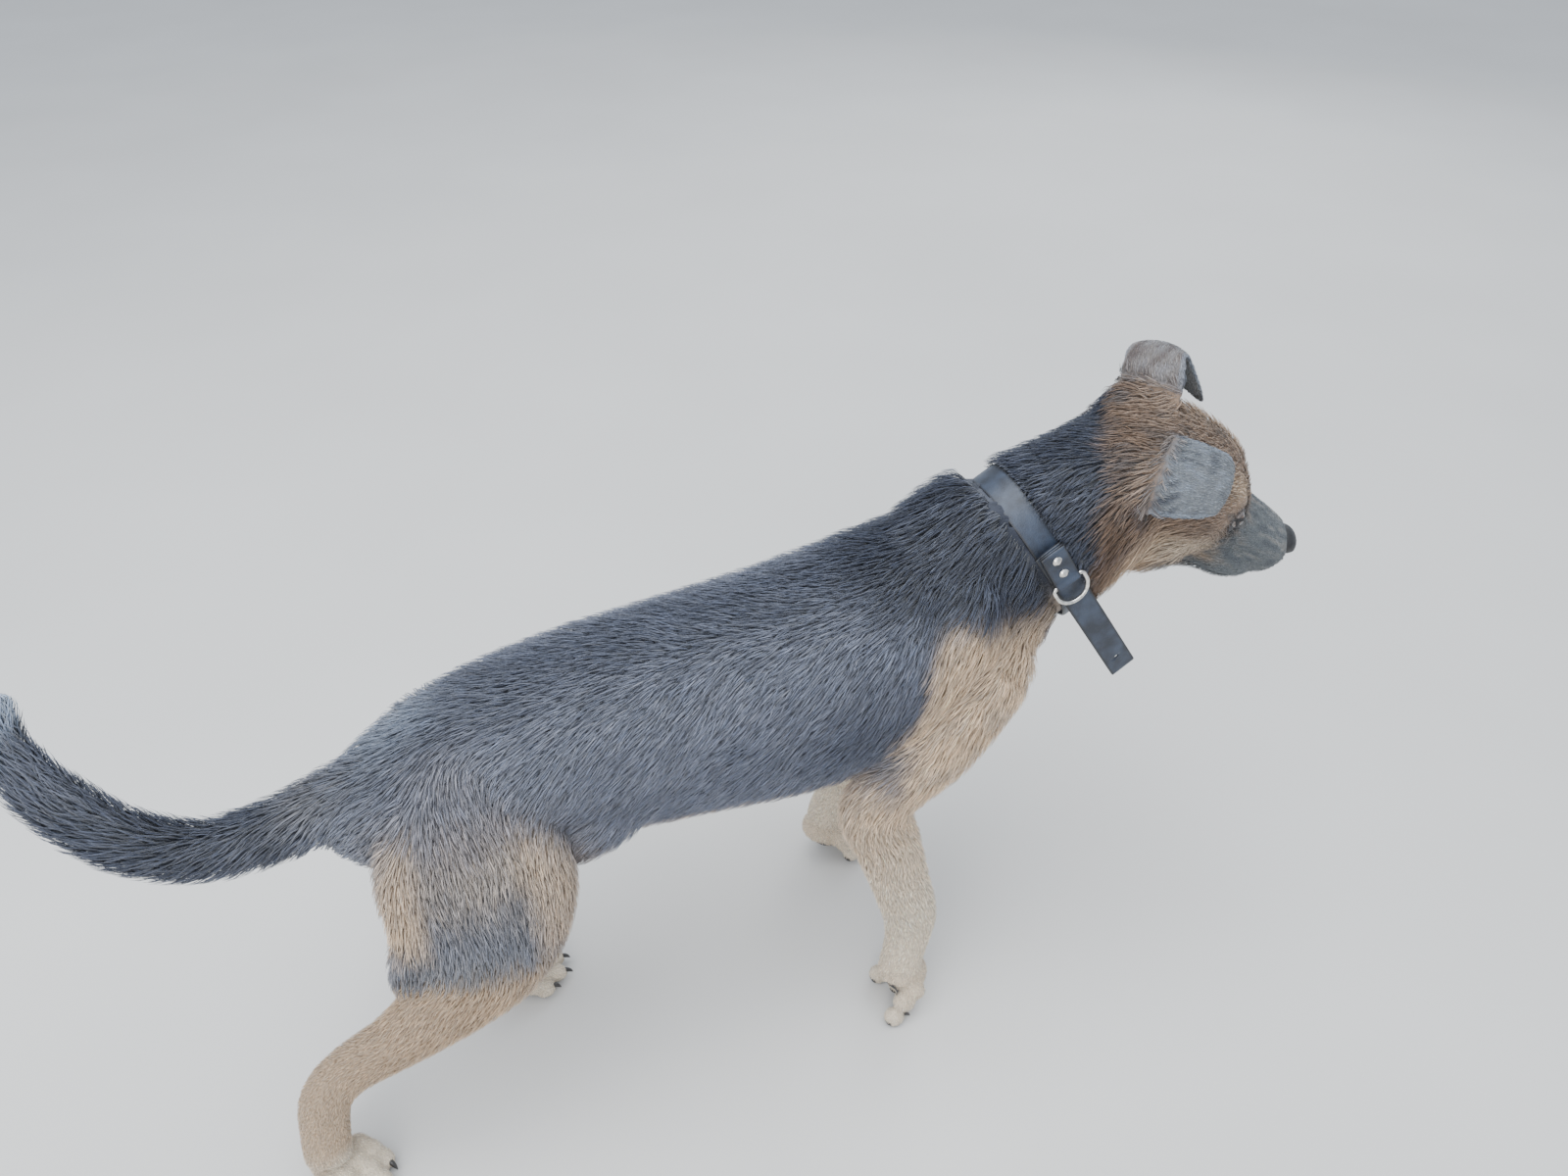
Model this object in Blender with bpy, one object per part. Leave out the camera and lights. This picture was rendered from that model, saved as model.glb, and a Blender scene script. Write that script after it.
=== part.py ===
"""A young shepherd-cross dog standing, life size, as solids: one for each named part of its body and collar.

The dog faces +X with its left side at +Y. Lengths below are given in CM, one centimetre on a dog of
56 cm at the withers, so that the whole animal follows one driving height. The outer surface of each
solid is the outline of the coat, out to the tips of the hair.
"""

from math import cos, pi, radians, sin

import bmesh
import bpy
from mathutils import Euler, Matrix, Vector

# ---------------------------------------------------------------- driving dimensions

WITHERS = 0.56  # height of the back over the shoulder blades, in metres
CM = WITHERS / 56.0

CUT = 0.0004  # the gap that parts two neighbouring solids
VOXEL = 0.0032  # grain of the blended body before it is thinned out
SMOOTHING = 8  # passes that soften the joins between muscles
BODY_TRIANGLES = 3700
SIDES = 28  # points round a section

LEFT, RIGHT = 1, -1
SIDE_NAMES = {LEFT: "left", RIGHT: "right"}

# The head hangs from the top of the neck, turned and bowed from there.
HEAD_AT = Vector((41.4, -0.6, 60.9)) * CM
HEAD_YAW, HEAD_PITCH, HEAD_ROLL = radians(-14), radians(34), radians(22)
HEAD_FRAME = Matrix.Translation(HEAD_AT) @ Euler((HEAD_ROLL, HEAD_PITCH, HEAD_YAW)).to_matrix().to_4x4()

EYE_RADIUS = 1.08 * CM
EYE_AT = Vector((12.3, 3.4, 1.7)) * CM  # in the head's frame, left side

COLLAR_WIDTH, LEATHER = 0.028, 0.0030
COLLAR_AT = Vector((31.8, -0.1, 51.8)) * CM
COLLAR_LEAN = radians(-30)  # the loop's plane leans with the neck
COLLAR_HALF = (6.9 * CM, 9.2 * CM)  # to the outside of the band: across the neck, and nape to throat
FOLD_ANGLE = radians(176)  # where the strap's end is folded over its ring, on the right side
FOLD_LENGTH = 0.042
RING_WIDTH, RING_DEPTH, RING_WIRE = 0.034, 0.026, 0.0021
STRAP_END = 0.158  # length of the loose end from the ring's bar
STRAP_TURN = Matrix.Rotation(radians(3), 4, "Z")  # the loose end swings forward of the fold
GAP = 0.00045

# ---------------------------------------------------------------- materials

FINISHES = {
    "coat_black": ((0.045, 0.048, 0.058), 0.75, 0.0),
    "coat_tan": ((0.46, 0.34, 0.22), 0.8, 0.0),
    "leather": ((0.018, 0.018, 0.022), 0.5, 0.0),
    "metal": ((0.75, 0.74, 0.70), 0.25, 1.0),
    "eye": ((0.05, 0.025, 0.012), 0.08, 0.0),
    "nose": ((0.012, 0.012, 0.013), 0.35, 0.0),
}


def finish(name):
    """A Principled material with the part's colour, roughness and metal."""
    found = bpy.data.materials.get(name)
    if found:
        return found
    made = bpy.data.materials.new(name)
    made.use_nodes = True
    colour, rough, metal = FINISHES[name]
    shader = made.node_tree.nodes["Principled BSDF"]
    shader.inputs["Base Color"].default_value = (*colour, 1)
    shader.inputs["Roughness"].default_value = rough
    shader.inputs["Metallic"].default_value = metal
    return made


# ---------------------------------------------------------------- mesh helpers


def add_object(name, bm, slot=None):
    """Puts a bmesh in the scene as an object, shaded smooth, with its finish."""
    mesh = bpy.data.meshes.new(name)
    bm.normal_update()
    bmesh.ops.recalc_face_normals(bm, faces=bm.faces)
    if bm.calc_volume(signed=True) < 0:
        bmesh.ops.reverse_faces(bm, faces=bm.faces)
    bm.to_mesh(mesh)
    bm.free()
    made = bpy.data.objects.new(name, mesh)
    bpy.context.scene.collection.objects.link(made)
    if slot:
        mesh.materials.append(finish(slot))
        mesh.shade_smooth()
    return made


def evaluated(source, name, slot=None):
    """A new object from another's mesh with its modifiers applied. The source is removed."""
    graph = bpy.context.evaluated_depsgraph_get()
    mesh = bpy.data.meshes.new_from_object(source.evaluated_get(graph), depsgraph=graph)
    bpy.data.objects.remove(source)
    mesh.name = name
    mesh.materials.clear()
    made = bpy.data.objects.new(name, mesh)
    bpy.context.scene.collection.objects.link(made)
    if slot:
        mesh.materials.append(finish(slot))
        mesh.shade_smooth()
    return made


def copy_of(source, name):
    """The same shape as a second object with a mesh of its own."""
    made = bpy.data.objects.new(name, source.data.copy())
    made.data.name = name
    bpy.context.scene.collection.objects.link(made)
    return made


def cut_by(target, cutter, operation, name, slot=None):
    """Target with a Boolean by cutter applied, as a new object."""
    step = target.modifiers.new("cut", "BOOLEAN")
    step.operation = operation
    step.object = cutter
    return evaluated(target, name, slot)


def swollen(source, by):
    """A copy of a shape pushed outward by a gap's width, to cut its neighbour with."""
    made = copy_of(source, source.name + "_swollen")
    made.data.update()
    moved = [v.co + v.normal * by for v in made.data.vertices]
    for vertex, place in zip(made.data.vertices, moved):
        vertex.co = place
    return made


def spline(points, steps):
    """Tuples of numbers read along a smooth curve through the given ones."""
    ends = [points[0], *points, points[-1]]
    made = []
    for i in range(len(points) - 1):
        p = ends[i : i + 4]
        for k in range(steps):
            t = k / steps
            made.append(
                tuple(
                    b + 0.5 * t * (c - a + t * (2 * a - 5 * b + 4 * c - d + t * (3 * b - a - 3 * c + d)))
                    for a, b, c, d in zip(*p)
                )
            )
    return made + [tuple(points[-1])]


def rounded(angle, power):
    """A point of a unit superellipse: power 2 is a circle, more is squarer."""
    c, s = cos(angle), sin(angle)
    return abs(c) ** (2 / power) * (1 if c >= 0 else -1), abs(s) ** (2 / power) * (1 if s >= 0 else -1)


def loft(bm, stations, steps=4, power=2.2, side=Vector((0, 1, 0)), frame=Matrix()):
    """Adds a closed tube of egg-shaped sections.

    A station is (x, y, z, half width, above, below), in CM: above and below are measured from the
    centre line across the width, towards the tube's upper (or front) and lower (or rear) side.
    """
    rows = [tuple(v * CM for v in row) for row in spline(stations, steps)]
    centres = [Vector(row[:3]) for row in rows]
    rings = []
    for i, row in enumerate(rows):
        ahead = centres[min(i + 1, len(rows) - 1)] - centres[max(i - 1, 0)]
        upward = ahead.cross(side).normalized()
        across = upward.cross(ahead).normalized()
        ring = []
        for k in range(SIDES):
            w, h = rounded(2 * pi * k / SIDES, power)
            reach = row[4] if h >= 0 else row[5]
            ring.append(bm.verts.new(frame @ (centres[i] + across * (row[3] * w) + upward * (reach * h))))
        rings.append(ring)
    for a, b in zip(rings, rings[1:]):
        for k in range(SIDES):
            bm.faces.new((a[k], a[(k + 1) % SIDES], b[(k + 1) % SIDES], b[k]))
    bm.faces.new(rings[0][::-1])
    bm.faces.new(rings[-1])


def ball(bm, centre, radii, frame=Matrix(), turn=(0, 0, 0)):
    """Adds an ellipsoid: centre and radii in CM, turned by three angles in degrees."""
    spin = Euler([radians(a) for a in turn]).to_matrix().to_4x4()
    shape = Matrix.Translation(Vector(centre) * CM) @ spin @ Matrix.Diagonal((*(Vector(radii) * CM), 1))
    bmesh.ops.create_uvsphere(bm, u_segments=16, v_segments=10, radius=1, matrix=frame @ shape)


# ---------------------------------------------------------------- the body's masses


def add_trunk(bm):
    """Ribcage, loin and croup, then the muscles that break their outline."""
    # x, y, z, half width, above, below
    spine = [
        (-37.5, 0, 39.6, 2.6, 2.0, 2.6),
        (-35.0, 0, 40.2, 5.2, 4.0, 6.0),
        (-30.0, 0, 41.4, 7.2, 6.0, 8.0),
        (-23.0, 0, 43.0, 8.4, 7.6, 9.2),
        (-13.0, 0, 43.8, 9.0, 8.8, 12.2),
        (-3.0, 0, 43.4, 9.8, 9.9, 12.6),
        (7.0, 0, 43.2, 10.3, 11.1, 13.4),
        (16.0, 0, 43.8, 9.8, 12.4, 13.6),
        (24.0, 0, 45.0, 8.6, 12.8, 12.4),
        (30.0, 0, 45.4, 6.8, 10.4, 9.2),
        (34.0, 0, 44.4, 4.2, 5.0, 6.4),
    ]
    loft(bm, spine)
    for side in (LEFT, RIGHT):
        ball(bm, (20.5, 5.4 * side, 46.4), (6.0, 3.9, 8.8), turn=(0, 24, 0))  # shoulder blade
        ball(bm, (25.0, 5.4 * side, 41.0), (6.0, 3.9, 7.0))  # point of the shoulder
        ball(bm, (-25.5, 4.4 * side, 42.6), (7.6, 4.0, 5.6), turn=(0, -14, 0))  # rump
        ball(bm, (-15.0, 5.6 * side, 36.6), (6.5, 2.8, 4.4), turn=(0, -22, 0))  # fold of the flank
    ball(bm, (29.0, 0, 40.0), (4.6, 5.6, 6.2))  # breastbone
    ball(bm, (-30.8, -8.2, 29.6), (4.4, 3.2, 9.4), turn=(0, 18, 0))  # hamstring of the leg that is back


def add_neck(bm):
    loft(
        bm,
        [
            (18.0, 0, 48.0, 6.4, 8.6, 7.5),
            (25.0, 0, 49.8, 7.6, 11.2, 10.2),
            (31.5, -0.1, 52.0, 7.8, 9.9, 10.2),
            (37.0, -0.2, 54.6, 7.6, 9.2, 9.2),
            (41.5, -0.4, 57.0, 7.4, 8.0, 8.4),
            (46.0, -0.7, 58.6, 6.0, 6.2, 7.6),
        ],
    )


def add_tail(bm):
    loft(
        bm,
        [
            (-30.0, 0, 42.8, 3.6, 3.2, 4.2),
            (-35.0, 0, 41.6, 3.6, 3.1, 4.2),
            (-41.0, 0.1, 40.2, 3.2, 2.9, 3.7),
            (-47.5, 0.3, 40.0, 3.0, 2.8, 3.4),
            (-52.6, 0.6, 43.0, 2.9, 2.7, 3.6),
            (-56.2, 1.2, 48.4, 2.7, 2.5, 3.4),
            (-57.8, 2.2, 53.8, 2.2, 2.1, 2.7),
            (-57.0, 3.6, 58.2, 1.5, 1.4, 1.8),
            (-55.8, 4.6, 61.0, 0.5, 0.5, 0.5),
        ],
    )


def add_head(bm):
    """Skull, muzzle and jaw, in the head's own frame: x to the nose, z to the crown."""
    loft(
        bm,
        [
            (-3.0, 0, -1.6, 4.8, 3.8, 5.0),
            (1.0, 0, -1.0, 6.6, 5.8, 6.8),
            (5.5, 0, -1.0, 7.1, 6.8, 7.4),
            (9.0, 0, -1.2, 6.7, 6.9, 7.0),
            (11.8, 0, -1.5, 5.5, 5.7, 6.2),
            (14.0, 0, -1.7, 4.5, 4.2, 5.3),
            (16.5, 0, -1.8, 3.9, 3.7, 4.7),
            (19.5, 0, -1.8, 3.5, 3.5, 4.1),
            (22.0, 0, -1.7, 3.1, 3.0, 3.4),
            (23.5, 0, -1.6, 2.2, 2.0, 2.2),
        ],
        frame=HEAD_FRAME,
        power=2.35,
    )
    loft(  # lower jaw and throat
        bm,
        [
            (-1.0, 0, -6.4, 5.4, 3.0, 4.2),
            (4.5, 0, -6.8, 5.8, 3.0, 4.8),
            (9.5, 0, -6.0, 5.5, 2.6, 4.4),
            (14.0, 0, -5.0, 4.4, 1.9, 3.6),
            (18.5, 0, -4.2, 3.0, 1.4, 2.5),
            (21.4, 0, -3.7, 1.9, 1.0, 1.5),
        ],
        frame=HEAD_FRAME,
    )
    for side in (LEFT, RIGHT):
        ball(bm, (6.4, 4.4 * side, -4.6), (6.0, 3.4, 5.0), HEAD_FRAME)  # cheek
        ball(bm, (0.5, 2.0 * side, -3.6), (5.0, 3.8, 4.2), HEAD_FRAME)  # where the neck takes over
        ball(bm, (10.4, 2.7 * side, 3.3), (2.4, 1.6, 1.5), HEAD_FRAME, (0, 25, 0))  # brow
        ball(bm, (16.2, 2.5 * side, -3.7), (5.2, 2.2, 2.7), HEAD_FRAME)  # upper lip
        ball(bm, (0.0, 3.4 * side, 1.1), (4.0, 2.7, 2.7), HEAD_FRAME)  # root of the ear


FORE_BENDING = [  # the left foreleg, heel up and its toes still down
    (26.0, 6.6, 41.5, 3.2, 4.4, 4.6),
    (20.5, 7.8, 36.0, 3.5, 4.8, 4.6),
    (14.6, 8.6, 31.0, 3.0, 3.9, 4.2),
    (15.2, 9.2, 25.4, 2.6, 3.3, 3.3),
    (16.4, 9.8, 19.4, 2.3, 2.9, 2.8),
    (17.4, 10.3, 14.8, 2.25, 2.8, 2.6),
    (16.8, 11.0, 11.0, 2.2, 2.5, 2.4),
    (16.0, 11.6, 7.6, 2.2, 2.3, 2.3),
    (16.0, 11.9, 5.2, 2.3, 2.2, 2.2),
]
FORE_LIFTING = [  # the right foreleg, its paw hanging till the toes touch the floor
    (26.0, -6.6, 41.5, 3.2, 4.4, 4.6),
    (19.5, -7.8, 36.0, 3.5, 4.8, 4.6),
    (12.8, -8.4, 30.6, 3.0, 4.0, 4.4),
    (13.8, -9.0, 25.0, 2.7, 3.6, 3.8),
    (15.4, -9.8, 18.5, 2.4, 3.2, 3.4),
    (16.4, -10.4, 13.6, 2.4, 3.1, 3.2),
    (16.0, -11.0, 10.2, 2.2, 2.5, 2.8),
    (15.0, -11.6, 7.4, 2.2, 2.3, 2.5),
    (14.4, -12.0, 5.6, 2.2, 2.2, 2.3),
]
HIND_BACK = [  # the right hind leg, stretched back
    (-26.0, -4.6, 44.0, 3.6, 6.6, 7.0),
    (-26.0, -6.6, 38.0, 4.4, 8.6, 8.8),
    (-25.6, -8.2, 32.0, 4.6, 8.2, 9.2),
    (-26.4, -9.0, 26.6, 3.9, 6.2, 7.6),
    (-30.6, -9.2, 22.4, 3.2, 4.6, 5.2),
    (-36.0, -9.0, 18.8, 2.6, 3.3, 3.4),
    (-41.2, -8.4, 15.8, 2.3, 2.8, 2.8),
    (-44.0, -8.3, 12.6, 2.2, 2.5, 2.7),
    (-45.2, -8.5, 8.0, 2.1, 2.4, 2.5),
    (-45.8, -8.8, 4.2, 2.2, 2.4, 2.4),
]
HIND_UNDER = [  # the left hind leg, stepping under the body
    (-26.0, 4.6, 44.0, 3.6, 6.6, 7.0),
    (-24.6, 6.4, 38.0, 4.4, 8.2, 8.6),
    (-21.0, 7.4, 32.0, 4.3, 7.2, 7.8),
    (-18.8, 7.8, 27.0, 3.5, 5.2, 5.6),
    (-20.0, 7.8, 22.6, 2.9, 4.0, 4.2),
    (-23.4, 7.4, 18.2, 2.4, 3.1, 3.2),
    (-26.8, 7.0, 14.6, 2.3, 2.7, 2.8),
    (-27.6, 6.8, 11.4, 2.2, 2.5, 2.7),
    (-26.8, 6.7, 7.4, 2.1, 2.4, 2.5),
    (-25.6, 6.7, 4.2, 2.2, 2.4, 2.4),
]


def paw_frame(x, y, turn):
    """Where a paw's own axes lie on the floor: x to the toes, turned to the left by an angle."""
    return Matrix.Translation(Vector((x, y, 0)) * CM) @ Matrix.Rotation(radians(turn), 4, "Z")


PAWS = {  # frame, size against a forepaw, and how far the heel is raised, in degrees
    "forepaw_left": (paw_frame(15.4, 11.9, 4), 1.0, 30),
    "forepaw_right": (paw_frame(11.9, -10.8, -8), 0.96, 74),
    "hindpaw_left": (paw_frame(-24.8, 6.9, -4), 0.9, 0),
    "hindpaw_right": (paw_frame(-45.4, -8.4, -52), 0.92, 0),
}
TOES = [  # knuckle x, y and toe tip x, y of the four toes
    (0.8, 2.4, 3.6, 2.95),
    (2.0, 0.95, 5.4, 1.12),
    (2.0, -0.95, 5.4, -1.12),
    (0.8, -2.4, 3.6, -2.95),
]
TOE_HINGE = Vector((4.2, 0, 1.0))  # the paw bends here when the heel is raised


def add_paw(bm, frame, size, heel):
    """Pads, arched toes and claws. The toe tips stay on the floor while the rest turns about them."""
    hinge = Matrix.Translation(TOE_HINGE)
    turn = hinge @ Euler((0, radians(heel), 0)).to_matrix().to_4x4() @ hinge.inverted()

    def bead(place, radii):
        ball(bm, Vector(place) * size, Vector(radii) * size, frame, (0, heel * 0.5, 0))

    bead(turn @ Vector((-0.6, 0, 2.2)), (3.0, 2.5, 2.1))  # root of the toes
    bead(turn @ Vector((0.2, 0, 1.0)), (2.1, 2.3, 1.3))  # main pad
    for knuckle_x, knuckle_y, tip_x, tip_y in TOES:
        knuckle = turn @ Vector((knuckle_x, knuckle_y, 2.3))
        tip = Vector((tip_x - 1.6 * sin(radians(heel)) ** 2, tip_y, 1.1))
        middle = knuckle.lerp(tip, 0.5) + Vector((0, 0, 0.3))
        for place, radius in ((knuckle, 1.15), (middle, 1.18), (tip, 1.1)):
            bead(place, (1.25 * radius, radius, 1.08 * radius))
        bead((tip.x - 0.25, tip.y, 0.55), (1.0, 0.9, 0.85))  # toe pad
        claw = [
            (tip.x + 0.5, tip.y, tip.z + 0.3, 0.38, 0.42, 0.42),
            (tip.x + 1.35, tip.y, tip.z + 0.15, 0.32, 0.34, 0.34),
            (tip.x + 1.95, tip.y, tip.z - 0.5, 0.16, 0.16, 0.16),
        ]
        loft(bm, [[v * size for v in station] for station in claw], steps=3, frame=frame)


def add_masses(bm):
    """Every mass of flesh, overlapping its neighbours."""
    add_trunk(bm)
    add_neck(bm)
    add_tail(bm)
    add_head(bm)
    for limb in (FORE_BENDING, FORE_LIFTING, HIND_BACK, HIND_UNDER):
        loft(bm, limb, power=2.1)
    for frame, size, heel in PAWS.values():
        add_paw(bm, frame, size, heel)


def blended_body():
    """All the masses of flesh blended into one skin and thinned to its triangle budget."""
    bm = bmesh.new()
    add_masses(bm)
    rough = add_object("blend", bm)
    remesh = rough.modifiers.new("fuse", "REMESH")
    remesh.mode = "VOXEL"
    remesh.voxel_size = VOXEL
    soften = rough.modifiers.new("soften", "SMOOTH")
    soften.factor, soften.iterations = 0.5, SMOOTHING
    fused = evaluated(rough, "fused")
    fused.data.calc_loop_triangles()
    thin = fused.modifiers.new("thin", "DECIMATE")
    thin.ratio = BODY_TRIANGLES / len(fused.data.loop_triangles)
    body = evaluated(fused, "body")
    floor = half_space(Vector((0, 0, 0)), Vector((0, 0, 1)))
    standing = cut_by(body, floor, "INTERSECT", "body")
    bpy.data.objects.remove(floor)
    return standing


# ---------------------------------------------------------------- cutters


def cutter(bm):
    """An object to cut with, hidden from the render."""
    made = add_object("cutter", bm)
    made.hide_render = True
    made.display_type = "WIRE"
    return made


def half_space(base, normal, reach=2.0):
    """A great box that stands on a point along a direction."""
    bm = bmesh.new()
    bmesh.ops.create_cube(bm, size=reach)
    turn = Vector(normal).to_track_quat("Z", "Y").to_matrix().to_4x4()
    bm.transform(Matrix.Translation(base) @ turn @ Matrix.Translation((0, 0, reach / 2)))
    return cutter(bm)


def block(x_span, y_span, z_span, grow=0.0):
    """A box with the given spans, in CM, to cut with."""
    bm = bmesh.new()
    bmesh.ops.create_cube(bm, size=1)
    for vertex in bm.verts:
        vertex.co = [
            (span[1] * CM + grow) if c > 0 else (span[0] * CM - grow)
            for c, span in zip(vertex.co, (x_span, y_span, z_span))
        ]
    return cutter(bm)


def sloping_prism(point, slope, x_span, y_span, grow=0.0):
    """An upright prism from under the floor to a sloping top, to cut a leg off with.

    The top passes through the point and rises by slope (along X, along Y). Lengths in CM.
    """
    bm = bmesh.new()
    bmesh.ops.create_cube(bm, size=1)
    for vertex in bm.verts:
        x = x_span[0] * CM - grow if vertex.co.x < 0 else x_span[1] * CM + grow
        y = y_span[0] * CM - grow if vertex.co.y < 0 else y_span[1] * CM + grow
        top = point[2] * CM + slope[0] * (x - point[0] * CM) + slope[1] * (y - point[1] * CM) + grow
        vertex.co = (x, y, top if vertex.co.z > 0 else -0.05 - grow)
    return cutter(bm)


def take_off(whole, near, far, name, slot):
    """Cuts a limb off with two cutters that differ by the gap. Returns the rest of the body and the limb."""
    limb = cut_by(copy_of(whole, "piece"), near, "INTERSECT", name, slot)
    rest = cut_by(whole, far, "DIFFERENCE", "rest", "coat_black")
    bpy.data.objects.remove(near)
    bpy.data.objects.remove(far)
    return rest, limb


def split(whole, point, normal, near_slot, name, slot):
    """Parts a body at a plane. Returns what lies behind the plane, and what lies along its normal."""
    point, normal = Vector(point) * CM, Vector(normal).normalized()
    near_box = half_space(point - normal * CUT / 2, -normal)
    far_box = half_space(point + normal * CUT / 2, normal)
    far = cut_by(copy_of(whole, "piece"), far_box, "INTERSECT", name, slot)
    near = cut_by(whole, near_box, "INTERSECT", "rest", near_slot)
    bpy.data.objects.remove(near_box)
    bpy.data.objects.remove(far_box)
    return near, far


LEGS = {  # a point of the cut from the trunk, its slope, and the spans in X and Y that take in the leg
    "foreleg_left": ((15.5, 9.5, 32.6), (0, 0.5), (4, 28), (2.4, 20)),
    "foreleg_right": ((15.0, -9.5, 32.6), (0, -0.5), (4, 28), (-20, -2.4)),
    "thigh_left": ((-24.0, 5.6, 37.6), (-0.5, 1.0), (-40, -12), (0.3, 20)),
    "thigh_right": ((-26.0, -5.6, 37.6), (-0.5, -1.0), (-56, -12), (-20, -0.3)),
}
LEG_JOINTS = {  # the lengths below, each with a point of the cut above it and the way the leg runs there
    "foreleg_left": [("forepaw_left", (16.6, 11.0, 7.2), (0.1, 0, -1))],
    "foreleg_right": [("forepaw_right", (15.6, -11.6, 7.6), (-0.2, 0, -1))],
    "thigh_left": [
        ("shank_left", (-19.6, 7.8, 24.2), (-0.35, 0, -1)),
        ("hindpaw_left", (-26.0, 6.8, 5.0), (0.3, 0, -1)),
    ],
    "thigh_right": [
        ("shank_right", (-29.0, -9.0, 24.0), (-0.7, 0, -1)),
        ("hindpaw_right", (-45.6, -8.8, 5.0), (0.1, 0, -1)),
    ],
}


def part_body(body):
    """Cuts the blended body into its named parts. Returns the head."""
    tail_box = ((-90, -37.8), (-4.6, 9.0), (30, 80))
    rest, tail = take_off(body, block(*tail_box), block(*tail_box, grow=CUT), "tail_root", "coat_black")
    tail, _ = split(tail, (-53.0, 0.6, 43.4), (-0.7, 0, 0.7), "coat_black", "tail_tip", "coat_black")
    tail.name = "tail_root"
    for name, cut in LEGS.items():
        rest, limb = take_off(rest, sloping_prism(*cut), sloping_prism(*cut, grow=CUT), name, "coat_tan")
        for lower, place, along in LEG_JOINTS[name]:
            limb, below = split(limb, place, along, "coat_tan", lower, "coat_tan")
            limb.name = name
            name, limb = lower, below
    rest, head = split(rest, (39.4, -0.5, 58.0), (1, -0.12, 0.22), "coat_black", "head", "coat_tan")
    trunk, _ = split(rest, (26.5, 0, 50), (1, 0, 0.72), "coat_black", "neck", "coat_black")
    trunk.name = "trunk"
    return head


# ---------------------------------------------------------------- eyes, nose and ears


def make_eye(head, side):
    """An eyeball in a socket of the head."""
    place = HEAD_FRAME @ Vector((EYE_AT.x, EYE_AT.y * side, EYE_AT.z))
    for name, radius in (("socket", EYE_RADIUS + CUT), (f"eye_{SIDE_NAMES[side]}", EYE_RADIUS)):
        bm = bmesh.new()
        bmesh.ops.create_uvsphere(bm, u_segments=12, v_segments=8, radius=radius)
        bm.transform(Matrix.Translation(place))
        made = add_object(name, bm, "eye")
        if name == "socket":
            head = cut_by(head, made, "DIFFERENCE", "head", "coat_tan")
            bpy.data.objects.remove(made)
    return head


def make_nose(head):
    """The nose leather, let into the tip of the muzzle."""
    bm = bmesh.new()
    ball(bm, (23.1, 0, 0.2), (1.35, 1.75, 1.25), HEAD_FRAME, (0, 12, 0))
    nose = add_object("nose", bm, "nose")
    socket = swollen(nose, CUT)
    head = cut_by(head, socket, "DIFFERENCE", "head", "coat_tan")
    bpy.data.objects.remove(socket)
    return head


EAR_WIDTH, EAR_THICK = 9.6, 0.42
EAR_BURIED = 1.6  # how much of the length is inside the skull before it is cut off
EAR_FOLD_LENGTH = 0.22  # share of the length that is taken by the bend
EAR_CARRIAGE = {  # root, which way it stands and opens, length, share where it folds, and by how many degrees
    LEFT: ((-1.2, 4.5, 2.2), (-0.15, 0.63, 0.65), (0.96, 0.26, 0.06), 16.4, 0.41, 116.0),
    RIGHT: ((-0.8, -4.8, 2.8), (0.72, -0.42, 0.66), (0.75, 0.3, -0.5), 14.6, 0.6, 140.0),
}
EAR_ROWS, EAR_COLUMNS = 11, 6


def ear_shape(along, fold_at, flap):
    """Half the ear's width, its roll and how far it has turned over, at a share of its length."""
    width = 0.5 * EAR_WIDTH * (1.08 - 0.5 * along) * (1 - along**2.8) ** 0.7
    start = fold_at - EAR_FOLD_LENGTH / 2
    fold = min(1.0, max(0.0, (along - start) / EAR_FOLD_LENGTH))
    roll = 1.15 - 0.75 * min(1.0, along / fold_at)
    return width + 0.15, roll, radians(flap) * fold * fold * (3 - 2 * fold)


def ear_grid(side):
    """Points of the ear's middle surface, in the head's frame, in CM: a scoop whose tip is folded over."""
    root, up, facing = (Vector(v) for v in EAR_CARRIAGE[side][:3])
    length, fold_at, flap = EAR_CARRIAGE[side][3:]
    up = up.normalized()
    facing = (facing - up * facing.dot(up)).normalized()
    stand = Matrix((facing, up.cross(facing), up)).transposed()
    place, step, rows = Vector((0, 0, -EAR_BURIED)), length / EAR_ROWS, []
    for i in range(EAR_ROWS + 1):
        width, roll, bend = ear_shape(i / EAR_ROWS, fold_at, flap)
        front = Vector((cos(bend), 0, -sin(bend)))
        row = []
        for k in range(EAR_COLUMNS + 1):
            turn = (2 * k / EAR_COLUMNS - 1) * roll
            radius = width / roll
            row.append(place + front * (radius * (1 - cos(turn))) + Vector((0, radius * sin(turn), 0)))
        rows.append([root + stand @ p for p in row])
        place = place + Vector((sin(bend), 0, cos(bend))) * step
    return rows


def make_ear(flesh, side):
    """A half-pricked ear: a scooped blade with its tip folded over, cut off where it enters the flesh."""
    bm = bmesh.new()
    rows = [[bm.verts.new(HEAD_FRAME @ (p * CM)) for p in row] for row in ear_grid(side)]
    for a, b in zip(rows, rows[1:]):
        for k in range(EAR_COLUMNS):
            bm.faces.new((a[k], a[k + 1], b[k + 1], b[k]))
    blade = add_object("blade", bm)
    thick = blade.modifiers.new("thick", "SOLIDIFY")
    thick.thickness, thick.offset = EAR_THICK * CM, 0
    cut_by(evaluated(blade, "blade"), flesh, "DIFFERENCE", f"ear_{SIDE_NAMES[side]}", "coat_black")


# ---------------------------------------------------------------- collar


COLLAR_FRAME = Matrix.Translation(COLLAR_AT) @ Euler((0, COLLAR_LEAN, 0)).to_matrix().to_4x4()


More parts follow.
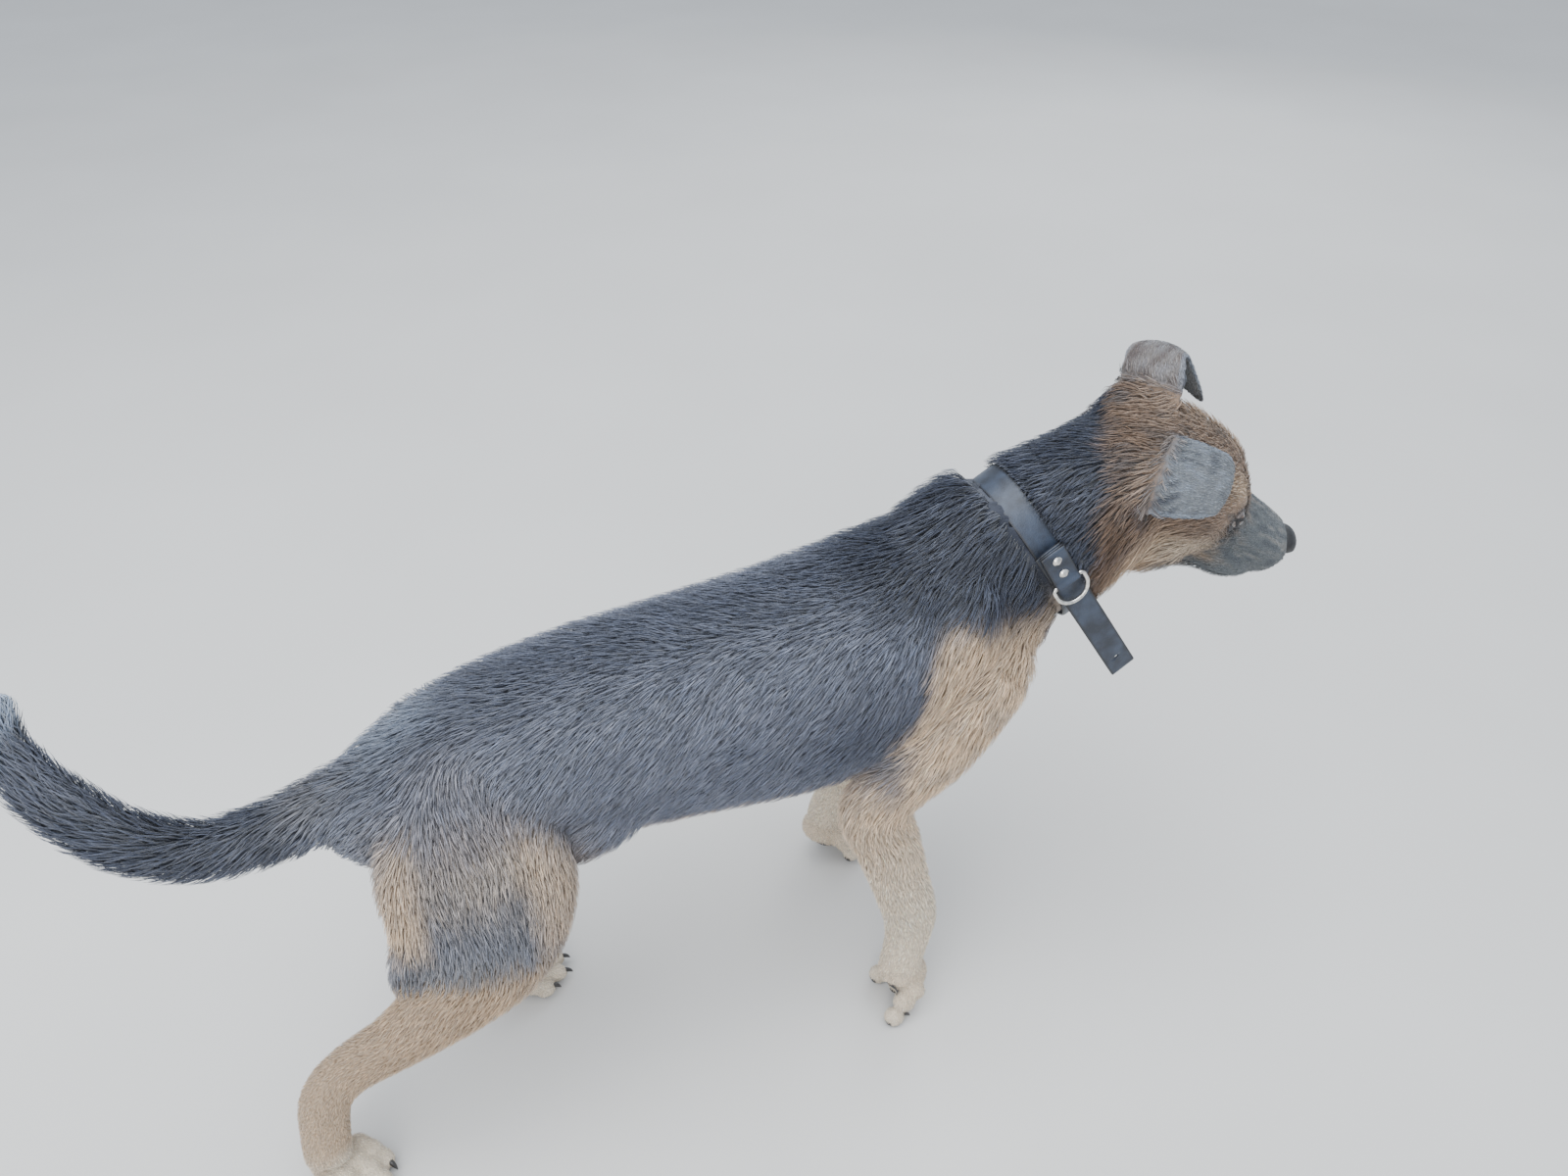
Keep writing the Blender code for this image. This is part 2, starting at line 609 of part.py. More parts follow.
def collar_point(angle, out=0.0, along=0.0):
    """A point of the collar's loop. Angle 0 is the left side and 90 degrees the nape."""
    w, h = COLLAR_HALF
    spot = Vector((0, w * cos(angle), h * sin(angle)))
    normal = Vector((0, cos(angle) / w, sin(angle) / h)).normalized()
    return COLLAR_FRAME @ (spot + normal * out + Vector((along, 0, 0)))


def hoop(bm, inner, outer, width, turns=40):
    """A closed band round the neck between two distances from the loop, of a given width."""
    corners = [(inner, -width / 2), (outer, -width / 2), (outer, width / 2), (inner, width / 2)]
    rings = [
        [bm.verts.new(collar_point(2 * pi * i / turns, out, along)) for out, along in corners]
        for i in range(turns)
    ]
    for i in range(turns):
        a, b = rings[i], rings[(i + 1) % turns]
        for k in range(4):
            bm.faces.new((a[k], b[k], b[(k + 1) % 4], a[(k + 1) % 4]))


def fold_frame():
    """Axes where the ring hangs: x down along the strap, y to the head, z out from the neck."""
    here, ahead = collar_point(FOLD_ANGLE), collar_point(FOLD_ANGLE + 0.01)
    x = (ahead - here).normalized()
    out = collar_point(FOLD_ANGLE, out=0.01) - here
    z = (out - x * out.dot(x)).normalized()
    y = z.cross(x)
    return Matrix.Translation(here) @ Matrix((x, y, z)).transposed().to_4x4()


def extruded(bm, outline, width, frame):
    """A closed prism: an outline of (x, z) points drawn out across y."""
    sides = [[bm.verts.new(frame @ Vector((x, y, z))) for x, z in outline] for y in (-width / 2, width / 2)]
    bm.faces.new(sides[0])
    bm.faces.new(sides[1][::-1])
    for k in range(len(outline)):
        n = (k + 1) % len(outline)
        bm.faces.new((sides[0][n], sides[0][k], sides[1][k], sides[1][n]))


def make_fold(frame):
    """The strap's end, doubled back round the ring's bar and held by two rivets."""
    low = LEATHER + 2 * GAP
    sleeve = RING_WIRE + GAP + 0.0014
    top = low + 2 * LEATHER * 0.8
    outline = [(-FOLD_LENGTH, low), (0, low)]
    for k in range(1, 9):
        turn = radians(-90 + 25 * k)
        outline.append((sleeve * cos(turn), low + sleeve + sleeve * sin(turn)))
    outline += [(-0.007, top), (-FOLD_LENGTH + 0.002, top), (-FOLD_LENGTH, top - 0.002)]
    bm = bmesh.new()
    extruded(bm, outline, COLLAR_WIDTH - 0.002, frame)
    fold = add_object("collar_fold", bm, "leather")
    bar = Matrix.Translation((0, 0, low + sleeve)) @ Matrix.Rotation(pi / 2, 4, "X")
    bm = bmesh.new()
    bore = RING_WIRE + GAP
    bmesh.ops.create_cone(
        bm, cap_ends=True, segments=16, radius1=bore, radius2=bore, depth=0.06, matrix=frame @ bar
    )
    hole = add_object("hole", bm)
    cut_by(fold, hole, "DIFFERENCE", "collar_fold", "leather")
    bpy.data.objects.remove(hole)
    for name, along in (("collar_rivet_upper", -0.0305), ("collar_rivet_lower", -0.0125)):
        bm = bmesh.new()
        dome = Matrix.Translation((along, 0, top + GAP)) @ Matrix.Diagonal((0.0046, 0.0046, 0.0026, 1))
        bmesh.ops.create_uvsphere(bm, u_segments=12, v_segments=8, radius=1, matrix=frame @ dome)
        flat = frame @ Vector((along, 0, top + GAP))
        geometry = bm.verts[:] + bm.edges[:] + bm.faces[:]
        cut = bmesh.ops.bisect_plane(
            bm, geom=geometry, plane_co=flat, plane_no=frame.to_3x3() @ Vector((0, 0, -1)), clear_outer=True
        )
        rim = [e for e in cut["geom_cut"] if isinstance(e, bmesh.types.BMEdge)]
        bmesh.ops.edgeloop_fill(bm, edges=rim)
        add_object(name, bm, "metal")
    return low + sleeve


def make_ring(frame, height):
    """The D-shaped ring: a bar through the fold and a round bow."""
    half, reach = RING_WIDTH / 2, RING_DEPTH - RING_WIDTH / 2
    path = [(0, half * (k / 3)) for k in range(-2, 3)]
    path += [(reach * 0.15, half * 1.0), (reach * 0.9, half * 1.02)]
    path += [(reach + half * sin(pi * k / 12), half * cos(pi * k / 12)) for k in range(1, 12)]
    path += [(reach * 0.9, -half * 1.02), (reach * 0.15, -half * 1.0)]
    hang = Matrix.Translation((0, 0, height)) @ Matrix.Rotation(radians(-4), 4, "Y")
    points = [frame @ hang @ Vector((x, y, 0)) for x, y in path]
    flat = (frame @ hang).to_3x3() @ Vector((0, 0, 1))
    bm = bmesh.new()
    rings = []
    for k, here in enumerate(points):
        ahead = (points[(k + 1) % len(points)] - points[k - 1]).normalized()
        side = ahead.cross(flat).normalized()
        rings.append(
            [
                bm.verts.new(here + (side * cos(pi * j / 3) + flat * sin(pi * j / 3)) * RING_WIRE)
                for j in range(6)
            ]
        )
    for k in range(len(rings)):
        a, b = rings[k - 1], rings[k]
        for j in range(6):
            bm.faces.new((a[j], a[(j + 1) % 6], b[(j + 1) % 6], b[j]))
    add_object("collar_ring", bm, "metal")


def make_strap_end(frame):
    """The loose end of the strap, which comes out from under the fold and hangs straight on."""
    bm = bmesh.new()
    bmesh.ops.create_cube(bm, size=1)
    length = STRAP_END + FOLD_LENGTH
    bm.transform(Matrix.Diagonal((length, COLLAR_WIDTH, LEATHER - GAP, 1)))
    bm.transform(Matrix.Translation((length / 2 - FOLD_LENGTH, 0, GAP + (LEATHER - GAP) / 2 + GAP)))
    bmesh.ops.bevel(bm, geom=bm.edges[:], offset=0.0007, segments=2, affect="EDGES", profile=0.5)
    bm.transform(frame @ STRAP_TURN)
    strap = add_object("collar_strap_end", bm, "leather")
    bm = bmesh.new()
    hole_at = STRAP_TURN @ Matrix.Translation((STRAP_END - 0.022, 0, 0))
    bmesh.ops.create_cone(
        bm, cap_ends=True, segments=12, radius1=0.0022, radius2=0.0022, depth=0.03, matrix=frame @ hole_at
    )
    hole = add_object("hole", bm)
    cut_by(strap, hole, "DIFFERENCE", "collar_strap_end", "leather")
    bpy.data.objects.remove(hole)


def seat_collar(body):
    """Presses the coat down under the band, the ring and the loose end."""
    ring_room = Matrix.Diagonal((0.084, RING_WIDTH + 0.010, 0.06, 1))
    strap_room = Matrix.Translation((0.062, 0, 0)) @ Matrix.Diagonal((0.21, COLLAR_WIDTH + 0.008, 0.06, 1))
    for room in (ring_room, STRAP_TURN @ strap_room):
        bm = bmesh.new()
        bmesh.ops.create_cube(bm, size=1)
        bm.transform(fold_frame() @ Matrix.Translation((0, 0, 0.03)) @ room)
        pressed = add_object("pressed", bm)
        body = cut_by(body, pressed, "DIFFERENCE", "body")
        bpy.data.objects.remove(pressed)
    bm = bmesh.new()
    hoop(bm, -LEATHER - GAP, 0.05, COLLAR_WIDTH + 2 * CUT)
    groove = add_object("groove", bm)
    body = cut_by(body, groove, "DIFFERENCE", "body")
    bpy.data.objects.remove(groove)
    return body


def make_collar():
    """Band, folded end with its ring and rivets, and the loose end."""
    frame = fold_frame()
    bm = bmesh.new()
    hoop(bm, -LEATHER, 0, COLLAR_WIDTH)
    add_object("collar_band", bm, "leather")
    make_ring(frame, make_fold(frame))
    make_strap_end(frame)


def centre_all():
    """Moves everything so that the origin is on the floor under the middle of the whole box."""
    corners = [made.matrix_world @ v.co for made in bpy.data.objects for v in made.data.vertices]
    middle = [(min(c[i] for c in corners) + max(c[i] for c in corners)) / 2 for i in (0, 1)]
    floor = min(c.z for c in corners)
    for made in bpy.data.objects:
        made.data.transform(Matrix.Translation((-middle[0], -middle[1], -floor)))


def main():
    """Builds the dog and its collar."""
    for old in list(bpy.data.objects):
        bpy.data.objects.remove(old)
    body = blended_body()
    flesh = swollen(body, CUT)
    head = part_body(seat_collar(body))
    head = make_nose(head)
    for side in (LEFT, RIGHT):
        head = make_eye(head, side)
        make_ear(flesh, side)
    bpy.data.objects.remove(flesh)
    make_collar()
    centre_all()


main()
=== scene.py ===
"""A young shepherd-cross dog in mid-step, life size: skin, coat, eyes, nose, claws and collar.

The modelling is done on the dog's plan: centimetres, the dog facing +X with its left side at +Y. WORLD takes
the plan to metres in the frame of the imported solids, which give its place.
"""

from __future__ import annotations

import logging
from collections.abc import Callable, Iterator, Sequence
from dataclasses import dataclass
from enum import Enum
from math import cos, pi, radians, sin

import bmesh
import bpy
import numpy as np
from mathutils import Euler, Matrix, Vector
from mathutils.bvhtree import BVHTree


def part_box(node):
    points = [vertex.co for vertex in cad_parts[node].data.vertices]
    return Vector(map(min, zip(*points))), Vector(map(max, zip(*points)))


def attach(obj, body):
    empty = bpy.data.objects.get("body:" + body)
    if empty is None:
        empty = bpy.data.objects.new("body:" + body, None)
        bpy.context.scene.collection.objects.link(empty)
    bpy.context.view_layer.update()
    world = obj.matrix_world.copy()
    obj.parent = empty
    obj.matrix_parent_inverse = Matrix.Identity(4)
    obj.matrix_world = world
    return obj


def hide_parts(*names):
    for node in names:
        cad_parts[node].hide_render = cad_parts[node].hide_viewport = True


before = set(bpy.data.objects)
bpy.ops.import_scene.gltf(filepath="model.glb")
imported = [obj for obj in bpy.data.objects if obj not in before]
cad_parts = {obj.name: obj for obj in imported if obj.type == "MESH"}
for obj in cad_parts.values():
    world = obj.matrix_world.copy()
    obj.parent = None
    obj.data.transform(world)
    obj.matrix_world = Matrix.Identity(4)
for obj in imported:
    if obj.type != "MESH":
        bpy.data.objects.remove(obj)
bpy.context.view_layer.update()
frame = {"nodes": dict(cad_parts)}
LOG = logging.getLogger("dog")

Array = np.ndarray
Socket = bpy.types.NodeSocket
Colour = tuple[float, float, float]
Point = tuple[float, float, float]
Station = tuple[float, ...]

CM = 0.01
SEED = 7
BODY = "root"  # a still model has one body


class Side(Enum):
    """The two sides of the dog, with the sign that each has along Y."""

    LEFT = 1
    RIGHT = -1

    @property
    def label(self) -> str:
        """The side's word in the names of nodes and pieces."""
        return self.name.lower()


HEAD_TURN = Euler((radians(22), radians(34), radians(-14)))
HEAD = Matrix.Translation((41.4, -0.6, 60.9)) @ HEAD_TURN.to_matrix().to_4x4()
EYE_AT = (12.3, 3.4, 1.7)  # the left eye's centre, in the head's frame: x to the nose, z to the crown
EYE_RADIUS = 1.08


def plan_to_world() -> Matrix:
    """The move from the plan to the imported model, found from where its left eye stands.

    Returns:
        The matrix that takes the plan's centimetres to the row frame's metres.
    """
    low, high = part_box("eye_left")
    shrink = Matrix.Scale(CM, 4)
    offset = (low + high) / 2 - shrink @ (HEAD @ Vector(EYE_AT))
    return Matrix.Translation(offset) @ shrink


WORLD = plan_to_world()


# ---------------------------------------------------------------- shared mathematics


def unit(vectors: Array) -> Array:
    """Rows of vectors scaled to length one."""
    return vectors / np.maximum(np.linalg.norm(vectors, axis=-1, keepdims=True), 1e-9)


def soft(value: Array, low: float, high: float) -> Array:
    """A smooth step from 0 at low to 1 at high, whichever of the two is greater."""
    share = np.clip((value - low) / (high - low), 0, 1)
    return share * share * (3 - 2 * share)


def hump(distance: Array, reach: float) -> Array:
    """A bell that is 1 at no distance and fades out over a reach."""
    return np.exp(-((distance / reach) ** 2))


def moved(matrix: Matrix, points: Array) -> Array:
    """Rows of points taken through a matrix."""
    grid = np.array(matrix)
    return points @ grid[:3, :3].T + grid[:3, 3]


def noise(points: Array, size: float, seed: int = 0) -> Array:
    """Smooth noise over space.

    Args:
        points: Where it is read, one row a point.
        size: How far apart its highs and lows are.
        seed: Which of many such noises it is.

    Returns:
        A value from -1 to 1 for each point.
    """
    place = points / size + 100.0 + 17.3 * seed
    cell = np.floor(place).astype(np.int64)
    blend = soft(place - cell, 0, 1)
    total = np.zeros(len(points))
    for corner in np.ndindex(2, 2, 2):
        x, y, z = (cell + corner).T
        mixed = (x * 374761393 + y * 668265263 + z * 2147483647) & 0xFFFFFFFF
        mixed = ((mixed ^ (mixed >> 13)) * 1274126177) & 0xFFFFFFFF
        value = ((mixed ^ (mixed >> 16)) & 0xFFFF) / 32767.5 - 1
        total += value * np.prod(np.where(corner, blend, 1 - blend), axis=1)
    return total


def spline(points: Sequence[Station], steps: int) -> Array:
    """Rows of numbers along a smooth curve through the given ones.

    Args:
        points: The given rows.
        steps: How many rows are read from each given one up to the next.

    Returns:
        The rows, ending with the last given one.
    """
    given = np.array([points[0], *points, points[-1]], float)
    a, b, c, d = given[:-3], given[1:-2], given[2:-1], given[3:]
    rows = []
    for k in range(steps):
        t = k / steps
        bend = (2 * a - 5 * b + 4 * c - d) * t**2 + (3 * b - a - 3 * c + d) * t**3
        rows.append(0.5 * (2 * b + (c - a) * t + bend))
    return np.vstack([np.stack(rows, axis=1).reshape(-1, given.shape[1]), given[-1:]])


# ---------------------------------------------------------------- meshes from arrays


def enclosed(corners: Array, faces: Array) -> float:
    """Six times the volume inside a closed surface, below zero if its faces look inward."""
    first, fans = corners[faces[:, 0]], range(2, faces.shape[1])
    return sum((first * np.cross(corners[faces[:, k - 1]], corners[faces[:, k]])).sum() for k in fans)


def mesh_object(name: str, corners: Array, faces: Array, matrix: Matrix = WORLD) -> bpy.types.Object:
    """A smooth-shaded object from corners and faces of one size.

    Args:
        name: The object's name.
        corners: Its corners, on the plan unless another matrix is given.
        faces: Indices of the corners of each face, one row a face.
        matrix: Takes the corners to the world.

    Returns:
        The object, linked to the scene.
    """
    if enclosed(corners, faces) < 0:
        faces = faces[:, ::-1]
    mesh = bpy.data.meshes.new(name)
    count, sides = faces.shape
    mesh.vertices.add(len(corners))
    mesh.vertices.foreach_set("co", moved(matrix, corners).astype(np.float32).ravel())
    mesh.loops.add(count * sides)
    mesh.loops.foreach_set("vertex_index", faces.astype(np.int32).ravel())
    mesh.polygons.add(count)
    mesh.polygons.foreach_set("loop_start", np.arange(0, count * sides, sides, dtype=np.int32))
    mesh.update(calc_edges=True)
    mesh.shade_smooth()
    return linked(name, mesh)


def linked(name: str, mesh: bpy.types.Mesh) -> bpy.types.Object:
    """An object of a mesh, linked to the scene."""
    made = bpy.data.objects.new(name, mesh)
    bpy.context.scene.collection.objects.link(made)
    return made


def applied(source: bpy.types.Object) -> bpy.types.Mesh:
    """The mesh of an object with its modifiers applied. The object and its old mesh are removed."""
    graph = bpy.context.evaluated_depsgraph_get()
    mesh = bpy.data.meshes.new_from_object(source.evaluated_get(graph), depsgraph=graph)
    name, old = source.name, source.data
    bpy.data.objects.remove(source)
    bpy.data.meshes.remove(old)
    mesh.name = name
    return mesh


def swept(rings: Array, loop: bool = False) -> tuple[Array, Array]:
    """The corners and quads of a tube through rings of points.

    Args:
        rings: One row a ring, one column a point round it.
        loop: Whether the last ring joins the first. If not, the ends are drawn in to their middles.

    Returns:
        The corners, and the faces that join them.
    """
    if not loop:
        first, last = (np.repeat(ring.mean(0)[None, None], len(ring), 1) for ring in (rings[0], rings[-1]))
        rings = np.concatenate([first, rings, last])
    count, sides = rings.shape[:2]
    index = np.arange(count * sides).reshape(count, sides)
    nearer = index if loop else index[:-1]
    farther = np.roll(index, -1, axis=0) if loop else index[1:]
    quads = np.stack([nearer, np.roll(nearer, -1, 1), np.roll(farther, -1, 1), farther], axis=-1)
    return rings.reshape(-1, 3), quads.reshape(-1, 4)


def globe(sides: int, rows: int) -> Array:
    """Rings of points over a ball of radius one, from its top to its bottom."""
    turn, tilt = np.meshgrid(2 * pi * np.arange(sides) / sides, np.linspace(0.02, pi - 0.02, rows))
    return np.stack([np.sin(tilt) * np.cos(turn), np.sin(tilt) * np.sin(turn), np.cos(tilt)], -1)


def tube(path: Array, radii: Array, upright: Array, sides: int, loop: bool = False) -> tuple[Array, Array]:
    """A round tube along a path.

    Args:
        path: Its centre line.
        radii: Its radius at each point of the path.
        upright: A direction that the path is never along.
        sides: Points round it.
        loop: Whether it closes on itself.

    Returns:
        The corners, and the faces that join them.
    """
    ahead = unit(np.roll(path, -1, 0) - np.roll(path, 1, 0)) if loop else unit(np.gradient(path, axis=0))
    across = unit(np.cross(ahead, np.broadcast_to(upright, path.shape)))
    above = np.cross(across, ahead)
    turn = 2 * pi * np.arange(sides) / sides
    ring = across[:, None] * np.cos(turn)[:, None] + above[:, None] * np.sin(turn)[:, None]
    return swept(path[:, None] + ring * np.asarray(radii)[:, None, None], loop)


def joined(parts: Sequence[tuple[Array, Array]]) -> tuple[Array, Array]:
    """Several sets of corners and faces as one."""
    offsets = np.cumsum([0, *(len(corners) for corners, _ in parts)])
    corners = np.concatenate([corners for corners, _ in parts])
    return corners, np.concatenate([faces + start for (_, faces), start in zip(parts, offsets)])


def set_values(mesh: bpy.types.Mesh, name: str, values: Array) -> None:
    """Stores a number or a colour for each corner of a mesh, for its material to read."""
    if values.ndim == 1:
        mesh.attributes.new(name, "FLOAT", "POINT").data.foreach_set("value", values.astype(np.float32))
        return
    colours = np.ones((len(values), 4), np.float32)
    colours[:, :3] = values
    mesh.attributes.new(name, "FLOAT_COLOR", "POINT").data.foreach_set("color", colours.ravel())


def dressed(piece: bpy.types.Object, finish: bpy.types.Material) -> bpy.types.Object:
    """Gives a piece its finish and lets it ride on the body."""
    piece.data.materials.clear()
    piece.data.materials.append(finish)
    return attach(piece, BODY)


# ---------------------------------------------------------------- finishes


class Shader:
    """A material's node tree while it is being built."""

    def __init__(self, name: str, **sockets: float | tuple) -> None:
        """Starts a Principled material.

        Args:
            name: The material's name.
            **sockets: Constant values for its sockets, with underscores for the spaces in their names.
        """
        self.material = bpy.data.materials.new(name)
        self.material.use_nodes = True
        self.tree = self.material.node_tree
        self.surface = self.tree.nodes["Principled BSDF"]
        for socket, value in sockets.items():
            self.surface.inputs[socket.replace("_", " ")].default_value = value

    def node(
        self, kind: str, inputs: dict[str | int, object] | None = None, **settings: object
    ) -> bpy.types.Node:
        """Adds a node.

        Args:
            kind: Its type, without the "ShaderNode" in front.
            inputs: Values for its inputs, or outputs of other nodes to link to them.
            **settings: Its properties.

        Returns:
            The node.
        """
        made = self.tree.nodes.new("ShaderNode" + kind)
        for key, value in settings.items():
            setattr(made, key, value)
        for key, value in (inputs or {}).items():
            if isinstance(value, Socket):
                self.tree.links.new(value, made.inputs[key])
            else:
                made.inputs[key].default_value = value
        return made

    def link(self, output: Socket, socket: str) -> None:
        """Links an output to a socket of the surface."""
        self.tree.links.new(output, self.surface.inputs[socket])

    def grain(self, size: float, detail: float = 3.0, stretch: Point = (1, 1, 1)) -> Socket:
        """Noise in the object's own space, with features of a size in metres."""
        place = self.node("TexCoord").outputs["Object"]
        spread = self.node("Mapping", {"Vector": place, "Scale": stretch}).outputs["Vector"]
        return self.node("TexNoise", {"Vector": spread, "Scale": 1 / size, "Detail": detail}).outputs["Fac"]

    def ramp(self, value: Socket, stops: Sequence[tuple[float, Colour]]) -> Socket:
        """Colours chosen by a value.

        Args:
            value: From 0 to 1.
            stops: Where along the value each colour is met.

        Returns:
            The colour's output.
        """
        made = self.node("ValToRGB", {"Fac": value})
        while len(made.color_ramp.elements) < len(stops):
            made.color_ramp.elements.new(0.5)
        for element, (place, colour) in zip(made.color_ramp.elements, stops):
            element.position = place
            element.color = (*colour, 1)
        return made.outputs["Color"]

    def between(self, value: Socket, low: float, high: float) -> Socket:
        """A value from 0 to 1 spread to another range."""
        return self.node("MapRange", {"Value": value, "To Min": low, "To Max": high}).outputs["Result"]

    def shaded(self, colour: Socket, value: Socket) -> Socket:
        """A colour made lighter or darker by a value."""
        return self.node("VectorMath", {0: colour, "Scale": value}, operation="SCALE").outputs[0]

    def bump(self, height: Socket, depth: float, strength: float = 1.0) -> None:
        """Raises the surface by a height from 0 to 1, of a depth in metres."""
        made = self.node("Bump", {"Height": height, "Distance": depth, "Strength": strength})
        self.link(made.outputs["Normal"], "Normal")


@dataclass(frozen=True)
class Finish:
    """What covers a piece: a material that is made at its first use."""

    name: str

    def material(self) -> bpy.types.Material:
        """The material."""
        return bpy.data.materials.get(self.name) or self.painted()

    def painted(self) -> bpy.types.Material:
        """A new material, which each kind of finish makes in its own way."""
        raise NotImplementedError


@dataclass(frozen=True)
class CoatFinish(Finish):
    """Hair, or skin that shows between hairs. Its colour comes from the markings stored on the mesh."""

    roughness: float
    sheen: float
    grain_size: float  # in metres
    depth: float  # of the bump, in metres
    unevenness: float = 0.22

    def painted(self) -> bpy.types.Material:
        """The markings, with fine uneven streaks over them."""
        made = Shader(self.name, Sheen_Weight=self.sheen, Sheen_Roughness=0.5, Specular_IOR_Level=0.35)
        markings = made.node("Attribute", attribute_name="Markings").outputs["Color"]
        fine = made.grain(self.grain_size, 4.0)
        light = made.between(fine, 1 - self.unevenness, 1 + self.unevenness)
        made.link(made.shaded(markings, light), "Base Color")
        made.link(made.between(fine, self.roughness - 0.1, self.roughness + 0.1), "Roughness")
        made.bump(fine, self.depth)
        return made.material


@dataclass(frozen=True)
class LeatherFinish(Finish):
    """Black dyed leather with a painted bluish sheen in paler, smoother patches, and darker along its cut
    edges.
    """

    name: str = "worn_leather"
    face: Colour = (0.012, 0.016, 0.026)
    # painted sheen: the paler bluish colour of the cloudy patches over the face
    worn: Colour = (0.028, 0.040, 0.066)
    edge: Colour = (0.008, 0.008, 0.010)
    pebbles: float = 900.0  # in a metre

    def painted(self) -> bpy.types.Material:
        """Pebbled grain, paler patches of painted sheen and dark edges."""
        made = Shader(self.name, Specular_IOR_Level=0.5, Coat_Weight=0.08, Coat_Roughness=0.45)
        place = made.node("TexCoord").outputs["Object"]
        cells = made.node("TexVoronoi", {"Vector": place, "Scale": self.pebbles}, feature="SMOOTH_F1")
        # painted sheen: cloudy patches where the face turns paler, bluer and smoother
        sheen_cloud = made.grain(0.018, 5.0)
        face = made.ramp(sheen_cloud, [(0.36, self.face), (0.62, self.worn)])
        rim = made.node("Attribute", attribute_name="Edge").outputs["Fac"]
        # darker towards the cut edges and the ends of each strip
        edge_dark = made.node("MapRange", {"Value": rim, "From Min": 0.78, "From Max": 0.96}).outputs["Result"]
        mixed = made.node("Mix", {"Factor": edge_dark, 6: face, 7: (*self.edge, 1)}, data_type="RGBA")
        made.link(mixed.outputs[2], "Base Color")
        made.link(made.between(sheen_cloud, 0.58, 0.36), "Roughness")
        made.bump(cells.outputs["Distance"], 0.0004, 0.6)
        return made.material


@dataclass(frozen=True)
class MetalFinish(Finish):
    """Nickel plate, lightly scratched and dulled."""

    name: str = "nickel"
    bright: Colour = (0.78, 0.76, 0.72)
    dull: Colour = (0.50, 0.48, 0.45)

    def painted(self) -> bpy.types.Material:
        """Cloudy metal with fine scratches."""
        made = Shader(self.name, Metallic=1.0)
        cloud = made.grain(0.004, 6.0)
        made.link(made.ramp(cloud, [(0.35, self.dull), (0.6, self.bright)]), "Base Color")
        made.link(made.between(cloud, 0.34, 0.16), "Roughness")
        made.bump(made.grain(0.0008, 2.0), 0.00005, 0.3)
        return made.material


@dataclass(frozen=True)
class EyeFinish(Finish):
    """A wet brown eye: black pupil, amber-brown iris and dark rim, by how far out each point is."""

    name: str = "eye_brown"

    def painted(self) -> bpy.types.Material:
        """Rings of colour with a slightly frayed edge, under a wet film."""
        wet = {"Roughness": 0.06, "Coat_Weight": 1.0, "Coat_Roughness": 0.02, "Specular_IOR_Level": 0.6}
        made = Shader(self.name, **wet)
        outward = made.node("Attribute", attribute_name="Outward").outputs["Fac"]
        frayed = made.between(made.grain(0.0012, 4.0), -0.03, 0.03)
        place = made.node("Math", {0: outward, 1: frayed}, operation="ADD").outputs[0]
        stops = [
            (0.0, (0.002, 0.002, 0.003)),
            (0.30, (0.002, 0.002, 0.003)),
            (0.34, (0.045, 0.018, 0.006)),
            (0.55, (0.130, 0.055, 0.016)),
            (0.66, (0.020, 0.008, 0.004)),
            (0.74, (0.10, 0.075, 0.06)),
            (1.0, (0.28, 0.22, 0.19)),
        ]
        made.link(made.ramp(place, stops), "Base Color")
        return made.material


@dataclass(frozen=True)
class BareFinish(Finish):
    """Hairless dark tissue or horn: nose leather, lid rims or claws."""

    dark: Colour
    pale: Colour
    pebble: float  # size of its pebbles, in metres
    roughness: float
    depth: float  # of the pebbles, in metres

    def painted(self) -> bpy.types.Material:
        """Pebbled, damp-looking and slightly mottled."""
        made = Shader(self.name, Specular_IOR_Level=0.5, Coat_Weight=0.15, Coat_Roughness=0.3)
        place = made.node("TexCoord").outputs["Object"]
        cells = made.node("TexVoronoi", {"Vector": place, "Scale": 1 / self.pebble}).outputs["Distance"]
        mottle = made.grain(self.pebble * 6, 3.0)
        made.link(made.ramp(mottle, [(0.3, self.dark), (0.75, self.pale)]), "Base Color")
        made.link(made.between(mottle, self.roughness + 0.12, self.roughness - 0.08), "Roughness")
        made.bump(cells, self.depth, 0.8)
        return made.material


@dataclass(frozen=True)
class FloorFinish(Finish):
    """The studio's plain pale floor."""

    name: str = "studio_floor"

    def painted(self) -> bpy.types.Material:
        """Matt, and barely cloudy."""
        made = Shader(self.name, Roughness=0.9)
        tone = made.ramp(made.grain(0.5, 2.0), [(0.3, (0.60, 0.59, 0.57)), (0.7, (0.63, 0.62, 0.60))])
        made.link(tone, "Base Color")
        return made.material


SKIN = CoatFinish("skin_and_down", roughness=0.75, sheen=0.15, grain_size=0.0016, depth=0.0010)
FUR = CoatFinish("fur", roughness=0.62, sheen=0.22, grain_size=0.0022, depth=0.0004)
LEATHER = LeatherFinish()
NICKEL = MetalFinish()
NOSE_LEATHER = BareFinish("nose_leather", (0.004, 0.004, 0.005), (0.012, 0.012, 0.013), 0.0011, 0.46, 0.0004)
LID_RIM = BareFinish("lid_rim", (0.006, 0.005, 0.005), (0.016, 0.013, 0.012), 0.0008, 0.40, 0.0001)
HORN = BareFinish("claw_horn", (0.010, 0.010, 0.011), (0.045, 0.040, 0.036), 0.0030, 0.38, 0.0001)


# ---------------------------------------------------------------- the plan of the body


